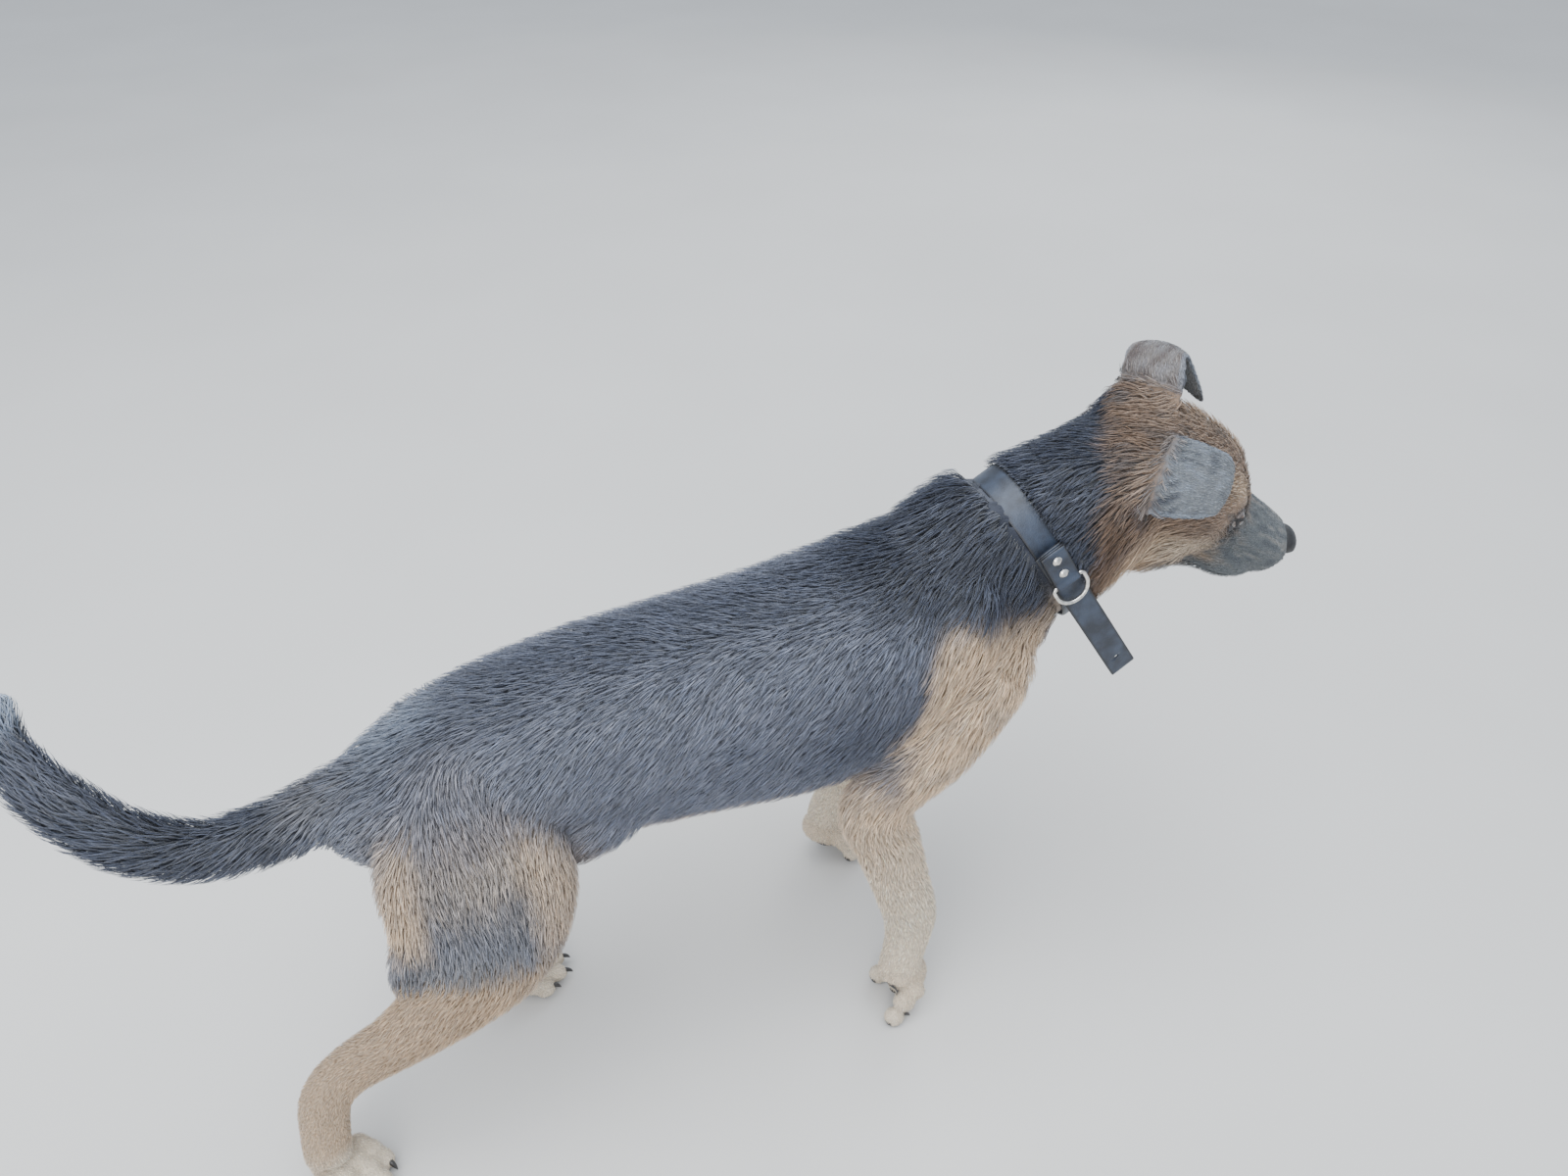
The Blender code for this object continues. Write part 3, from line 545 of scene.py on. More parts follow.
@dataclass(frozen=True)
class Course:
    """A length of the body round a centre line, out to the tips of its coat.

    A station is (x, y, z, half width, above, below): above and below are measured from the centre line to
    the upper (or front) and the lower (or rear) side.
    """

    name: str
    stations: tuple[Station, ...]
    coat: tuple[Station, ...]  # share of the length, depth of the coat and length of its hair there
    flow: int = 1  # 1 if the hair runs from the first station to the last, -1 if it runs back
    fall: float = 0.0  # how strongly it turns down as it runs
    crown: Point = (1.0, 1.0, 1.0)  # the coat's depth on top, at the sides and underneath, against the table
    power: float = 2.2  # 2 is a round section, more is squarer
    frame: Matrix = Matrix()
    steps: int = 6

    SIDES, THINNEST = 36, 0.3

    def rows(self) -> Array:
        """The stations read finely along the course."""
        return spline(self.stations, self.steps)

    def flesh(self) -> tuple[Array, Array]:
        """The surface under the coat, as a closed tube of egg-shaped sections."""
        rows = self.rows()
        depth = self.coat_at(np.linspace(0, 1, len(rows)))[0][:, None] * np.array(self.crown)
        ahead = np.roll(rows[:, :3], -1, 0) - np.roll(rows[:, :3], 1, 0)
        ahead[0], ahead[-1] = rows[1, :3] - rows[0, :3], rows[-1, :3] - rows[-2, :3]
        upper = unit(np.cross(ahead, np.array([0, 1.0, 0])))
        across = unit(np.cross(upper, ahead))
        turn = 2 * pi * np.arange(self.SIDES) / self.SIDES
        wide = np.sign(np.cos(turn)) * np.abs(np.cos(turn)) ** (2 / self.power)
        high = np.sign(np.sin(turn)) * np.abs(np.sin(turn)) ** (2 / self.power)
        half = np.maximum(rows[:, 3] - depth[:, 1], self.THINNEST)[:, None]
        above = np.maximum(rows[:, 4] - depth[:, 0], self.THINNEST)[:, None]
        below = np.maximum(rows[:, 5] - depth[:, 2], self.THINNEST)[:, None]
        reach = np.where(high >= 0, above, below)
        sideways = across[:, None] * (half * wide)[..., None]
        upward = upper[:, None] * (reach * high)[..., None]
        corners, faces = swept(rows[:, None, :3] + sideways + upward)
        return moved(self.frame, corners), faces

    def coat_at(self, share: Array) -> tuple[Array, Array]:
        """The coat's depth and the length of its hair at shares of the course."""
        given = np.array(self.coat)
        return np.interp(share, given[:, 0], given[:, 1]), np.interp(share, given[:, 0], given[:, 2])


LIMB_COAT = ((0, 0.9, 2.4), (0.25, 0.7, 2.0), (0.45, 0.45, 1.3), (0.65, 0.32, 0.9), (1, 0.2, 0.6))
PAW_COAT = ((0, 0.2, 0.55), (1, 0.14, 0.34))
HEAD_COAT = (
    (0, 0.9, 2.2),
    (0.2, 0.6, 1.6),
    (0.38, 0.42, 1.0),
    (0.55, 0.3, 0.7),
    (0.7, 0.2, 0.5),
    (1, 0.14, 0.32),
)

# The stations of each course: x, y, z, half width, above and below.
TRUNK = (
    (-37.5, 0, 39.6, 2.6, 2.0, 2.6),
    (-35.0, 0, 40.2, 5.2, 4.0, 6.0),
    (-30.0, 0, 41.4, 7.2, 6.0, 8.0),
    (-23.0, 0, 43.0, 8.4, 7.6, 9.2),
    (-13.0, 0, 43.8, 9.0, 8.8, 12.2),
    (-3.0, 0, 43.4, 9.8, 9.9, 12.6),
    (7.0, 0, 43.2, 10.3, 11.1, 13.4),
    (16.0, 0, 43.8, 9.8, 12.4, 13.6),
    (24.0, 0, 45.0, 8.6, 12.8, 12.4),
    (30.0, 0, 45.4, 6.8, 10.4, 9.2),
    (34.0, 0, 44.4, 4.2, 5.0, 6.4),
)
NECK = (
    (18.0, 0, 48.0, 6.4, 8.6, 7.5),
    (25.0, 0, 49.8, 7.6, 11.2, 10.2),
    (31.5, -0.1, 52.0, 7.8, 9.9, 10.2),
    (37.0, -0.2, 54.6, 7.6, 9.2, 9.2),
    (41.5, -0.4, 57.0, 7.4, 8.0, 8.4),
    (46.0, -0.7, 58.6, 6.0, 6.2, 7.6),
)
TAIL = (
    (-30.0, 0, 42.8, 3.6, 3.2, 4.2),
    (-35.0, 0, 41.6, 3.6, 3.1, 4.2),
    (-41.0, 0.1, 40.2, 3.2, 2.9, 3.7),
    (-47.5, 0.3, 40.0, 3.0, 2.8, 3.4),
    (-52.6, 0.6, 43.0, 2.9, 2.7, 3.6),
    (-56.2, 1.2, 48.4, 2.7, 2.5, 3.4),
    (-57.8, 2.2, 53.8, 2.2, 2.1, 2.7),
    (-57.1, 3.4, 57.6, 1.5, 1.4, 1.8),
)
HEAD_ROWS = (
    (-3.0, 0, -1.6, 4.8, 3.8, 5.0),
    (1.0, 0, -1.0, 6.6, 5.8, 6.8),
    (5.5, 0, -1.0, 7.1, 6.8, 7.4),
    (9.0, 0, -1.2, 6.7, 6.9, 7.0),
    (11.8, 0, -1.5, 5.5, 5.7, 6.2),
    (14.0, 0, -1.7, 4.5, 4.2, 5.3),
    (16.5, 0, -1.8, 3.9, 3.7, 4.7),
    (19.5, 0, -1.8, 3.5, 3.5, 4.1),
    (22.0, 0, -1.7, 3.1, 3.0, 3.4),
    (23.5, 0, -1.6, 2.2, 2.0, 2.2),
)
LIMBS = {  # from the body down to the paw
    "fore_left": (
        (26.0, 6.6, 41.5, 3.2, 4.4, 4.6),
        (20.5, 7.8, 36.0, 3.5, 4.8, 4.6),
        (14.6, 8.6, 31.0, 3.0, 3.9, 4.2),
        (15.2, 9.2, 25.4, 2.6, 3.3, 3.3),
        (16.4, 9.8, 19.4, 2.3, 2.9, 2.8),
        (17.4, 10.3, 14.8, 2.25, 2.8, 2.6),
        (16.8, 11.0, 11.0, 2.2, 2.5, 2.4),
        (16.0, 11.6, 7.6, 2.2, 2.3, 2.3),
        (16.0, 11.9, 5.2, 2.3, 2.2, 2.2),
    ),
    "fore_right": (
        (26.0, -6.6, 41.5, 3.2, 4.4, 4.6),
        (19.5, -7.8, 36.0, 3.5, 4.8, 4.6),
        (12.8, -8.4, 30.6, 3.0, 4.0, 4.4),
        (13.8, -9.0, 25.0, 2.7, 3.6, 3.8),
        (15.4, -9.8, 18.5, 2.4, 3.2, 3.4),
        (16.4, -10.4, 13.6, 2.4, 3.1, 3.2),
        (16.0, -11.0, 10.2, 2.2, 2.5, 2.8),
        (15.0, -11.6, 7.4, 2.2, 2.3, 2.5),
        (14.4, -12.0, 5.6, 2.2, 2.2, 2.3),
    ),
    "hind_right": (
        (-26.0, -4.6, 44.0, 3.6, 6.6, 7.0),
        (-26.0, -6.6, 38.0, 4.4, 8.6, 8.8),
        (-25.6, -8.2, 32.0, 4.6, 8.2, 9.2),
        (-26.4, -9.0, 26.6, 3.9, 6.2, 7.6),
        (-30.6, -9.2, 22.4, 3.2, 4.6, 5.2),
        (-36.0, -9.0, 18.8, 2.6, 3.3, 3.4),
        (-41.2, -8.4, 15.8, 2.3, 2.8, 2.8),
        (-44.0, -8.3, 12.6, 2.2, 2.5, 2.7),
        (-45.2, -8.5, 8.0, 2.1, 2.4, 2.5),
        (-45.8, -8.8, 4.2, 2.2, 2.4, 2.4),
    ),
    "hind_left": (
        (-26.0, 4.6, 44.0, 3.6, 6.6, 7.0),
        (-24.6, 6.4, 38.0, 4.4, 8.2, 8.6),
        (-21.0, 7.4, 32.0, 4.3, 7.2, 7.8),
        (-18.8, 7.8, 27.0, 3.5, 5.2, 5.6),
        (-20.0, 7.8, 22.6, 2.9, 4.0, 4.2),
        (-23.4, 7.4, 18.2, 2.4, 3.1, 3.2),
        (-26.8, 7.0, 14.6, 2.3, 2.7, 2.8),
        (-27.6, 6.8, 11.4, 2.2, 2.5, 2.7),
        (-26.8, 6.7, 7.4, 2.1, 2.4, 2.5),
        (-25.6, 6.7, 4.2, 2.2, 2.4, 2.4),
    ),
}

COURSES = (
    Course(
        "trunk",
        TRUNK,
        coat=((0, 0.9, 2.3), (0.4, 0.9, 2.2), (0.75, 1.1, 2.7), (1, 1.3, 3.0)),
        flow=-1,
        fall=0.5,
        crown=(1.15, 1.0, 0.75),
    ),
    Course(
        "neck",
        NECK,
        coat=((0, 1.3, 3.2), (0.5, 1.45, 3.3), (1, 1.1, 2.4)),
        flow=-1,
        fall=0.4,
        crown=(1.1, 1.0, 1.0),
    ),
    Course(
        "tail",
        TAIL,
        coat=((0, 0.9, 2.4), (0.4, 1.1, 2.8), (0.8, 1.1, 3.0), (1, 1.05, 3.2)),
        fall=0.12,
        crown=(0.95, 1.0, 1.15),
    ),
    Course("head", HEAD_ROWS, HEAD_COAT, flow=-1, fall=0.15, crown=(0.85, 1.0, 1.3), power=2.35, frame=HEAD),
    *(Course(name, stations, LIMB_COAT, power=2.1) for name, stations in LIMBS.items()),
)

JAW = Course(  # lower jaw and throat: flesh only, since the hair there follows the head
    "jaw",
    (
        (-1.0, 0, -6.4, 5.4, 3.0, 4.2),
        (4.5, 0, -6.8, 5.8, 3.0, 4.8),
        (9.5, 0, -6.0, 5.5, 2.6, 4.4),
        (14.0, 0, -5.0, 4.4, 1.9, 3.6),
        (18.5, 0, -4.2, 3.0, 1.4, 2.5),
        (21.4, 0, -3.7, 1.9, 1.0, 1.5),
    ),
    coat=((0, 0.9, 2.0), (0.5, 0.5, 1.0), (1, 0.16, 0.4)),
    frame=HEAD,
)


@dataclass(frozen=True)
class Muscle:
    """An egg-shaped mass under the coat."""

    at: Point
    radii: Point
    depth: float  # of the coat over it
    turn: Point = (0, 0, 0)  # degrees
    frame: Matrix = Matrix()

    def flesh(self) -> tuple[Array, Array]:
        """Its surface, less the depth of the coat."""
        spin = Euler([radians(a) for a in self.turn]).to_matrix().to_4x4()
        shape = self.frame @ Matrix.Translation(self.at) @ spin
        corners, faces = swept(globe(28, 20) * (np.array(self.radii) - self.depth))
        return moved(shape, corners), faces


PAIRED_MASSES = (  # place on the left, radii, depth of the coat, degrees that it leans and frame
    ((20.5, 5.4, 46.4), (6.0, 3.9, 8.8), 1.1, 24, Matrix()),  # shoulder blade
    ((25.0, 5.4, 41.0), (6.0, 3.9, 7.0), 1.1, 0, Matrix()),  # point of the shoulder
    ((-25.5, 4.4, 42.6), (7.6, 4.0, 5.6), 0.9, -14, Matrix()),  # rump
    ((-15.0, 5.6, 36.6), (6.5, 2.8, 4.4), 0.8, -22, Matrix()),  # fold of the flank
    ((6.4, 4.4, -4.6), (6.0, 3.4, 5.0), 0.7, 0, HEAD),  # cheek
    ((0.5, 2.0, -3.6), (5.0, 3.8, 4.2), 0.9, 0, HEAD),  # where the neck takes over
    ((10.4, 2.7, 3.3), (2.4, 1.6, 1.5), 0.25, 25, HEAD),  # brow
    ((16.2, 2.5, -3.7), (5.2, 2.2, 2.7), 0.16, 0, HEAD),  # upper lip
    ((0.0, 3.4, 1.1), (4.0, 2.7, 2.7), 0.5, 0, HEAD),  # root of the ear
)


def muscles() -> Iterator[Muscle]:
    """The masses that break the outline of trunk and head."""
    for side in (1, -1):
        for (x, y, z), radii, depth, lean, place in PAIRED_MASSES:
            yield Muscle((x, y * side, z), radii, depth, (0, lean, 0), place)
    yield Muscle((29.0, 0, 40.0), (4.6, 5.6, 6.2), 1.3)  # breastbone
    yield Muscle((-30.8, -8.2, 29.6), (4.4, 3.2, 9.4), 0.7, (0, 18, 0))  # hamstring of the leg that is back


@dataclass(frozen=True)
class Paw:
    """A paw with four arched toes, pads and claws, on its own axes: x to the toes, on the floor."""

    name: str
    at: tuple[float, float]
    turn: float  # degrees to the left
    size: float  # against a full-size forepaw
    heel: float  # degrees that the heel is raised
    wrist: Point  # where the leg ends

    HINGE = Vector((4.2, 0, 1.0))  # the paw bends here when the heel is raised
    TOES = ((0.8, 2.4, 3.6, 2.95), (2.0, 0.95, 5.4, 1.12), (2.0, -0.95, 5.4, -1.12), (0.8, -2.4, 3.6, -2.95))
    HAIR = 0.08

    @property
    def frame(self) -> Matrix:
        """The paw's axes on the plan."""
        spin = Matrix.Rotation(radians(self.turn), 4, "Z")
        return Matrix.Translation((*self.at, 0)) @ spin @ Matrix.Scale(self.size, 4)

    @property
    def raised(self) -> Matrix:
        """The turn of the raised heel about the toes."""
        hinge = Matrix.Translation(self.HINGE)
        return hinge @ Matrix.Rotation(radians(self.heel), 4, "Y") @ hinge.inverted()

    def toe_ends(self) -> list[tuple[Vector, Vector]]:
        """Knuckle and tip of each toe."""
        back = 1.6 * sin(radians(self.heel)) ** 2
        return [
            (self.raised @ Vector((knuckle_x, knuckle_y, 2.3)), Vector((tip_x - back, tip_y, 1.1)))
            for knuckle_x, knuckle_y, tip_x, tip_y in self.TOES
        ]

    def beads(self) -> Iterator[Muscle]:
        """The masses of the paw."""
        tilt = (0, self.heel * 0.5, 0)
        for place, radii in (((-0.6, 0, 2.2), (3.0, 2.5, 2.1)), ((0.2, 0, 1.0), (2.1, 2.3, 1.3))):
            yield Muscle(tuple(self.raised @ Vector(place)), radii, self.HAIR, tilt, self.frame)
        for knuckle, tip in self.toe_ends():
            middle = knuckle.lerp(tip, 0.5) + Vector((0, 0, 0.3))
            for place, radius in ((knuckle, 1.15), (middle, 1.18), (tip, 1.1)):
                radii = (1.25 * radius, radius, 1.08 * radius)
                yield Muscle(tuple(place), radii, self.HAIR, tilt, self.frame)
            yield Muscle((tip.x - 0.25, tip.y, 0.55), (1.0, 0.9, 0.85), 0.06, tilt, self.frame)

    def pads(self) -> Iterator[tuple[Vector, float]]:
        """The middle of each pad and its radius, on the plan."""
        yield self.frame @ (self.raised @ Vector((0.2, 0, 0.3))), 2.0 * self.size
        for _, tip in self.toe_ends():
            yield self.frame @ Vector((tip.x - 0.3, tip.y, 0.3)), 1.0 * self.size

    def course(self) -> Course:
        """The line that the hair follows, from the wrist to the toes."""
        toes = self.frame @ Vector((4.6 - 1.6 * sin(radians(self.heel)) ** 2, 0, 1.1))
        middle = Vector(self.wrist).lerp(toes, 0.5) + Vector((0, 0, 0.5))
        stations = tuple((*place, 2.6, 2.0, 2.0) for place in (self.wrist, tuple(middle), tuple(toes)))
        return Course(self.name, stations, PAW_COAT)

    def claws(self) -> tuple[Array, Array]:
        """Four curved claws, as corners and faces on the plan."""
        parts = []
        for _, tip in self.toe_ends():
            curve = spline(
                [
                    (tip.x + 0.5, tip.y, tip.z + 0.20, 0.32),
                    (tip.x + 1.15, tip.y, tip.z + 0.20, 0.30),
                    (tip.x + 1.62, tip.y, tip.z - 0.08, 0.22),
                    (tip.x + 1.92, tip.y, tip.z - 0.5, 0.06),
                ],
                5,
            )
            corners, faces = tube(curve[:, :3], curve[:, 3], np.array([0, 1.0, 0]), sides=10)
            parts.append((moved(self.frame, corners), faces))
        return joined(parts)


PAWS = (
    Paw("forepaw_left", (15.4, 11.9), 4, 1.0, 30, (16.0, 11.9, 5.2)),
    Paw("forepaw_right", (11.9, -10.8), -8, 0.96, 74, (14.4, -12.0, 5.6)),
    Paw("hindpaw_left", (-24.8, 6.9), -4, 0.9, 0, (-25.6, 6.7, 4.2)),
    Paw("hindpaw_right", (-45.4, -8.4), -52, 0.92, 0, (-45.8, -8.8, 4.2)),
)


# ---------------------------------------------------------------- ears


@dataclass(frozen=True)
class Ear:
    """A half-pricked ear: a scooped blade whose tip is folded over, in the head's frame."""

    side: Side
    root: Point
    up: Point  # which way it stands
    facing: Point  # which way it opens
    length: float
    fold_at: float  # share of its length where it folds
    flap: float  # degrees that the tip is turned over

    WIDTH, THICK, BURIED, FOLD_LENGTH = 9.6, 0.40, 1.6, 0.22
    ROWS, COLUMNS = 40, 20

    def shape(self, along: float) -> tuple[float, float, float]:
        """Half its width, its roll and how far it has turned over, at a share of its length."""
        width = 0.5 * self.WIDTH * (1.08 - 0.5 * along) * (1 - along**2.8) ** 0.7
        half = self.FOLD_LENGTH / 2
        fold = float(soft(np.float64(along), self.fold_at - half, self.fold_at + half))
        roll = 1.15 - 0.75 * min(1.0, along / self.fold_at)
        return width + 0.05, roll, radians(self.flap) * fold

    def grid(self) -> Array:
        """Points of the blade's middle surface on the plan: rows along it, columns across."""
        up = Vector(self.up).normalized()
        facing = Vector(self.facing)
        facing = (facing - up * facing.dot(up)).normalized()
        stand = Matrix((facing, up.cross(facing), up)).transposed().to_4x4()
        spine, rows = np.array([0, 0, -self.BURIED]), []
        for i in range(self.ROWS + 1):
            width, roll, bend = self.shape(i / self.ROWS)
            turn = np.linspace(-roll, roll, self.COLUMNS + 1)[:, None]
            radius = width / roll
            front = np.array([cos(bend), 0, -sin(bend)])
            aside = np.array([0, 1, 0]) * radius * np.sin(turn)
            rows.append(spine + front * radius * (1 - np.cos(turn)) + aside)
            spine = spine + np.array([sin(bend), 0, cos(bend)]) * (self.length / self.ROWS)
        return moved(HEAD @ Matrix.Translation(self.root) @ stand, np.array(rows))

    def flesh(self) -> tuple[Array, Array]:
        """The blade's flesh, a closed plate that thins towards its edges."""
        grid = self.grid()
        normal = unit(np.cross(np.gradient(grid, axis=0), np.gradient(grid, axis=1)))
        across = np.abs(np.linspace(-1, 1, self.COLUMNS + 1))
        half = 0.5 * self.THICK * (1 - 0.35 * across**3)[None, :, None]
        return swept(np.concatenate([grid + normal * half, (grid - normal * half)[:, ::-1]], axis=1))


EARS = (
    Ear(Side.LEFT, (-1.2, 4.5, 2.2), (-0.15, 0.63, 0.65), (0.96, 0.26, 0.06), 16.4, 0.41, 116.0),
    Ear(Side.RIGHT, (-0.8, -4.8, 2.8), (0.72, -0.42, 0.66), (0.75, 0.3, -0.5), 14.6, 0.60, 140.0),
)


# ---------------------------------------------------------------- where the hair runs


@dataclass
class Reading:
    """What the compass says of a number of points of the skin."""

    points: Array
    normals: Array
    share: dict[str, Array]  # how much each point belongs to each course
    along: dict[str, Array]  # how far down each course it is, from 0 to 1 in the order of the stations
    around: dict[str, Array]  # where it is round each course, from 0 to 1, 0.25 being its upper side
    front: dict[str, Array]  # 1 on the course's upper or front side, -1 on its lower or rear side
    flow: Array  # which way the hair lies
    depth: Array  # of the coat
    hair: Array  # length of the hair
    ear: Array  # how much it belongs to an ear
    ear_along: Array
    ear_across: Array  # -1 to 1, from edge to edge
    ear_inside: Array  # 1 in the ear's scoop, 0 on its back
    head: Array  # the point in the head's frame

    def of(self, *words: str) -> Array:
        """How much each point belongs to the courses whose names hold one of some words."""
        return sum(share for name, share in self.share.items() if any(word in name for word in words))


def squared_distances(points: Array, places: Array) -> Array:
    """The square of how far each point is from each place, one row a point."""
    return (points**2).sum(1)[:, None] + (places**2).sum(1) - 2 * points @ places.T


def mirrored(head: Array) -> Array:
    """Points in the head's frame, all on its left half."""
    return np.stack([head[:, 0], np.abs(head[:, 1]), head[:, 2]], 1)


def eye_distance(head: Array) -> Array:
    """How far points in the head's frame are from the eye on their side."""
    return np.linalg.norm(mirrored(head) - np.array(EYE_AT), axis=1)


def mouth_height(x: Array) -> Array:
    """The height of the closed lips' line at a distance along the head."""
    return np.interp(x, [12.2, 14.6, 17.5, 20.5, 22.6, 23.8], [-6.0, -5.6, -5.0, -4.4, -3.8, -3.4])


def dome(points: Array, centre: Point, radius: float) -> Array:
    """1 at a place, falling to 0 on a ball round it."""
    return hump(np.linalg.norm((points - np.array(centre)) / radius, axis=1), 1)


def cushion(points: Array, centre: Point, half: Point) -> Array:
    """1 at a place, falling to 0 on a box round it."""
    return hump((points - np.array(centre)) / np.array(half), 1).prod(1)


class Compass:
    """Reads where a point lies on the body, how its hair runs and how long and deep the coat is there."""

    NEARNESS = 7.0  # how firmly a point belongs to the course that it is nearest to
    EAR_DEPTH = 0.12  # of the coat on an ear
    EAR_HAIR = (0.80, 0.55)  # length of its hair, where it leaves the head and at the tip
    LID_HAIR = 0.32  # length of the hair round an eye
    RUFF = 1.1  # how much longer it is behind the jaw
    WANDER = ((0.30, 5.0), (0.14, 1.6))  # how far the flow strays, in radians, over what distance

    def __init__(self, courses: Sequence[Course], ears: Sequence[Ear]) -> None:
        """Samples the centre lines.

        Args:
            courses: The lengths of the body.
            ears: The two ears.
        """
        self.courses = courses
        self.lines = [self._line(course) for course in courses]
        self.ears = [(ear, ear.grid()) for ear in ears]

    @staticmethod
    def _line(course: Course) -> dict[str, Array]:
        """A course's samples: places, directions, sizes and the coat.

        Args:
            course: The length of the body.

        Returns:
            A row a sample under each name.
        """
        rows = course.rows()
        turn = np.array(course.frame)[:3, :3]
        ahead = unit(np.gradient(rows[:, :3], axis=0))
        upper = unit(np.cross(ahead, np.array([0, 1.0, 0])))
        share = np.linspace(0, 1, len(rows))
        depth, hair = course.coat_at(share)
        return {
            "place": moved(course.frame, rows[:, :3]),
            "ahead": ahead @ turn.T,
            "upper": upper @ turn.T,
            "radius": (rows[:, 3] * 2 + rows[:, 4] + rows[:, 5]) / 4,
            "share": share,
            "depth": depth,
            "hair": hair,
        }

    def read(self, points: Array, normals: Array) -> Reading:
        """Reads a number of points of the skin, with the skin's direction at each.

        Args:
            points: The points, on the plan.
            normals: The directions, of length one.

        Returns:
            What the compass says of them.
        """
        nearness, along, around, front, flows, depths, hairs = [], {}, {}, {}, [], [], []
        for course, line in zip(self.courses, self.lines):
            nearest, distance = self._nearest(points, line)
            offset = points - line["place"][nearest]
            up = (offset * line["upper"][nearest]).sum(1)
            aside = (offset * np.cross(line["upper"], line["ahead"])[nearest]).sum(1)
            nearness.append(np.maximum(distance, 0.2) ** -self.NEARNESS)
            along[course.name] = line["share"][nearest]
            around[course.name] = np.arctan2(up, aside) / (2 * pi) + 0.5
            front[course.name] = up / np.maximum(np.hypot(up, aside), 1e-6)
            flows.append(line["ahead"][nearest] * course.flow - np.array([0, 0, course.fall]))
            crown = np.interp(normals[:, 2], [-1, 0, 1], course.crown[::-1])
            depths.append(line["depth"][nearest] * crown)
            hairs.append(line["hair"][nearest])
        weights = np.array(nearness)
        weights /= weights.sum(0)
        flow = np.einsum("cn,cnk->nk", weights, np.array(flows))
        reading = Reading(
            points,
            normals,
            {course.name: weight for course, weight in zip(self.courses, weights)},
            along,
            around,
            front,
            flow,
            (weights * np.array(depths)).sum(0),
            (weights * np.array(hairs)).sum(0),
            *np.zeros((4, len(points))),
            head=moved(HEAD.inverted(), points),
        )
        self._read_ears(reading)
        self._ruff(reading)
        self._settle(reading)
        return reading

    def _nearest(self, points: Array, line: dict[str, Array]) -> tuple[Array, Array]:
        """The nearest sample to each point, measured against the course's thickness, and how far it is."""
        relative = np.sqrt(np.maximum(squared_distances(points, line["place"]), 0)) / line["radius"]
        nearest = relative.argmin(1)
        return nearest, relative[np.arange(len(points)), nearest]

    def _read_ears(self, reading: Reading) -> None:
        """Adds what the ears say of the points on them.

        Args:
            reading: What the courses said, changed in place.
        """
        for ear, grid in self.ears:
            near = np.nonzero(np.linalg.norm(reading.points - grid.mean((0, 1)), axis=1) < ear.length)[0]
            if not len(near):
                continue
            flat = grid.reshape(-1, 3)
            squared = squared_distances(reading.points[near], flat)
            nearest = squared.argmin(1)
            distance = np.sqrt(np.maximum(squared[np.arange(len(near)), nearest], 0))
            row, column = np.divmod(nearest, ear.COLUMNS + 1)
            along = row / ear.ROWS
            tip_ward, cross_ward = (np.gradient(grid, axis=axis) for axis in (0, 1))
            back = unit(np.cross(tip_ward, cross_ward)).reshape(-1, 3)[nearest]
            tip_ward = unit(tip_ward).reshape(-1, 3)[nearest]
            share = soft(distance, 0.85, 0.4) * soft(along, 0.14, 0.24)
            reading.ear[near] = np.maximum(reading.ear[near], share)
            across = column / ear.COLUMNS * 2 - 1
            inside = ((reading.normals[near] * back).sum(1) < 0).astype(float)
            for held, found in (
                (reading.ear_along, along),
                (reading.ear_across, across),
                (reading.ear_inside, inside),
            ):
                held[near] = np.where(share > 0, found, held[near])
            root, tip = self.EAR_HAIR
            hair = tip + (root - tip) * (1 - along)
            reading.flow[near] = reading.flow[near] * (1 - share)[:, None] + tip_ward * share[:, None]
            reading.depth[near] = reading.depth[near] * (1 - share) + self.EAR_DEPTH * share
            reading.hair[near] = reading.hair[near] * (1 - share) + hair * share

    def _ruff(self, reading: Reading) -> None:
        """Longer hair behind the jaw and below the ears, shorter round the eyes."""
        ruff = cushion(mirrored(reading.head), (1.5, 6.0, -3.5), (5, 3.5, 4.5))
        reading.hair += ruff * self.RUFF * (1 - reading.ear)
        close = soft(eye_distance(reading.head), 3.4, 1.4)
        reading.hair = reading.hair * (1 - close) + self.LID_HAIR * close

    def _settle(self, reading: Reading) -> None:
        """Lays the flow along the skin and lets it wander a little."""
        (wide, far), (fine, near) = self.WANDER
        wander = wide * noise(reading.points, far, 1) + fine * noise(reading.points, near, 2)
        normals = reading.normals
        flat = unit(reading.flow - normals * (reading.flow * normals).sum(1)[:, None])
        aside = np.cross(normals, flat)
        reading.flow = flat * np.cos(wander)[:, None] + aside * np.sin(wander)[:, None]


# ---------------------------------------------------------------- markings


@dataclass(frozen=True)
class Shade:
    """The colours of a hair at its root, half way and at its tip, in linear light."""

    root: Colour
    middle: Colour
    tip: Colour


